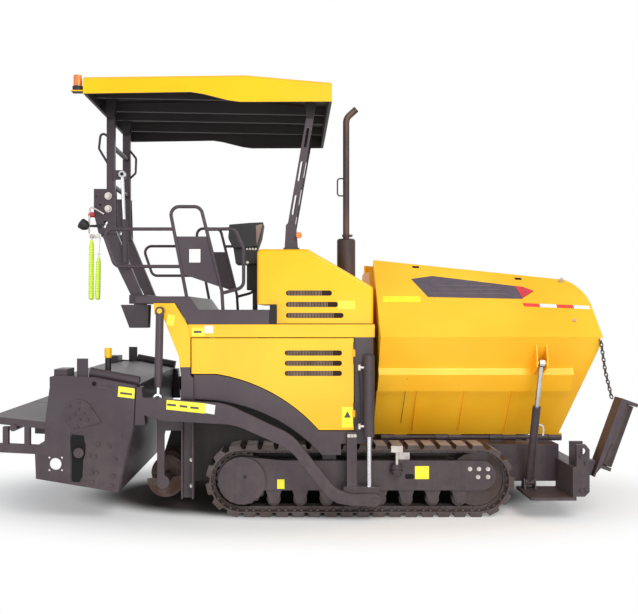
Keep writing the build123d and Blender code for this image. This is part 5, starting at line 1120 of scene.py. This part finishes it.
# ---------------------------------------- floor, light and camera
# the dark ground colour is a painted shadow under the machine, on top of the shadow that the lamps
# cast
PAINTED_FLOOR_SHADOW, OPEN_GROUND = (0.13, 0.115, 0.11, 1), (0.94, 0.94, 0.94, 1)
PLAIN_WHITE = (1, 1, 1, 1)
SKY, SKY_LEVEL = (0.93, 0.96, 1.0, 1), 0.45
FLOOR_HALF = 30


def reach(f, scale, low, high):
    """0 under the machine and 1 away from it, by an oval with its axes scaled."""
    values = {0: f.stretched(scale)}
    measured = f.node("ShaderNodeVectorMath", {"operation": "LENGTH"}, values)
    return f.wire(measured, "Value").between(low, high)


def white_floor():
    """Lit floor that shows shadow, darkened under the machine by a painted shadow, and plain white
    where nothing falls on it.
    """
    f = Finish("floor_white")
    far = reach(f, (0.3, 0.55, 0), 0.75, 1.25)
    # clear is 0 under the machine, where the painted shadow darkens the ground and the white glow
    # is held back
    clear = reach(f, (0.46, 0.92, 0), 0.82, 1.12)
    ground = f.blend(clear, PAINTED_FLOOR_SHADOW, OPEN_GROUND)
    lit = f.node("ShaderNodeBsdfDiffuse", {}, {"Color": ground})
    glow = f.node("ShaderNodeEmission", {}, {"Color": PLAIN_WHITE, "Strength": 1.0})
    share = f.seen() * (clear * (far * 0.75 + 0.25))
    return f.shown(share, lit, glow, "ShaderNodeOutputMaterial")


def studio():
    """A world that lights softly and looks plain white."""
    world = bpy.data.worlds.new("studio")
    world.use_nodes = True
    f = Finish("studio", world)
    soft = f.node("ShaderNodeBackground", {}, {"Color": SKY, "Strength": SKY_LEVEL})
    white = f.node("ShaderNodeBackground", {}, {"Color": PLAIN_WHITE, "Strength": 1.0})
    return f.shown(f.seen(), soft, white, "ShaderNodeOutputWorld")


floor_mesh = bpy.data.meshes.new("floor")
corners = [(x * FLOOR_HALF, y * FLOOR_HALF, 0) for x, y in ((-1, -1), (1, -1), (1, 1), (-1, 1))]
floor_mesh.from_pydata(corners, [], [(0, 1, 2, 3)])
floor_mesh.materials.append(white_floor())
added("floor", floor_mesh)
bpy.context.scene.world = studio()

LAMPS = (  # name, place, target, watts, width, height, colour
    ("key", (3.3, -8.0, 6.8), (0, 0, 1.4), 500, 4.0, 4.0, (1.0, 0.985, 0.96)),
    ("fill", (-7.5, -7.0, 3.0), (0, 0, 1.3), 170, 5, 5, (1, 1, 1)),
    ("back", (1.0, 7.5, 6.5), (0, 0, 1.6), 200, 7, 4, (1, 1, 1)),
    ("low", (0.5, -9.5, 1.0), (0, 0, 1.0), 195, 8, 2, (1, 1, 1)),
)
for name, place, target, watts, width, height, colour in LAMPS:
    light = bpy.data.lights.new(name, "AREA")
    light.shape = "RECTANGLE"
    light.size, light.size_y = width, height
    light.energy = watts
    light.color = colour
    holder = added(name, light)
    holder.location = place
    direction = Vector(target) - Vector(place)
    holder.rotation_euler = direction.to_track_quat("-Z", "Y").to_euler()

EYE = (-0.188, -8.68, 1.79)
camera = bpy.data.cameras.new("camera")
camera.lens = 50
camera.sensor_width = 36
camera.shift_x, camera.shift_y = 0.0408, 0.0047
eye = added("camera", camera)
eye.location = EYE
eye.rotation_euler = (math.radians(90), 0, 0)
bpy.context.scene.camera = eye
bpy.context.scene.view_settings.view_transform = "Standard"
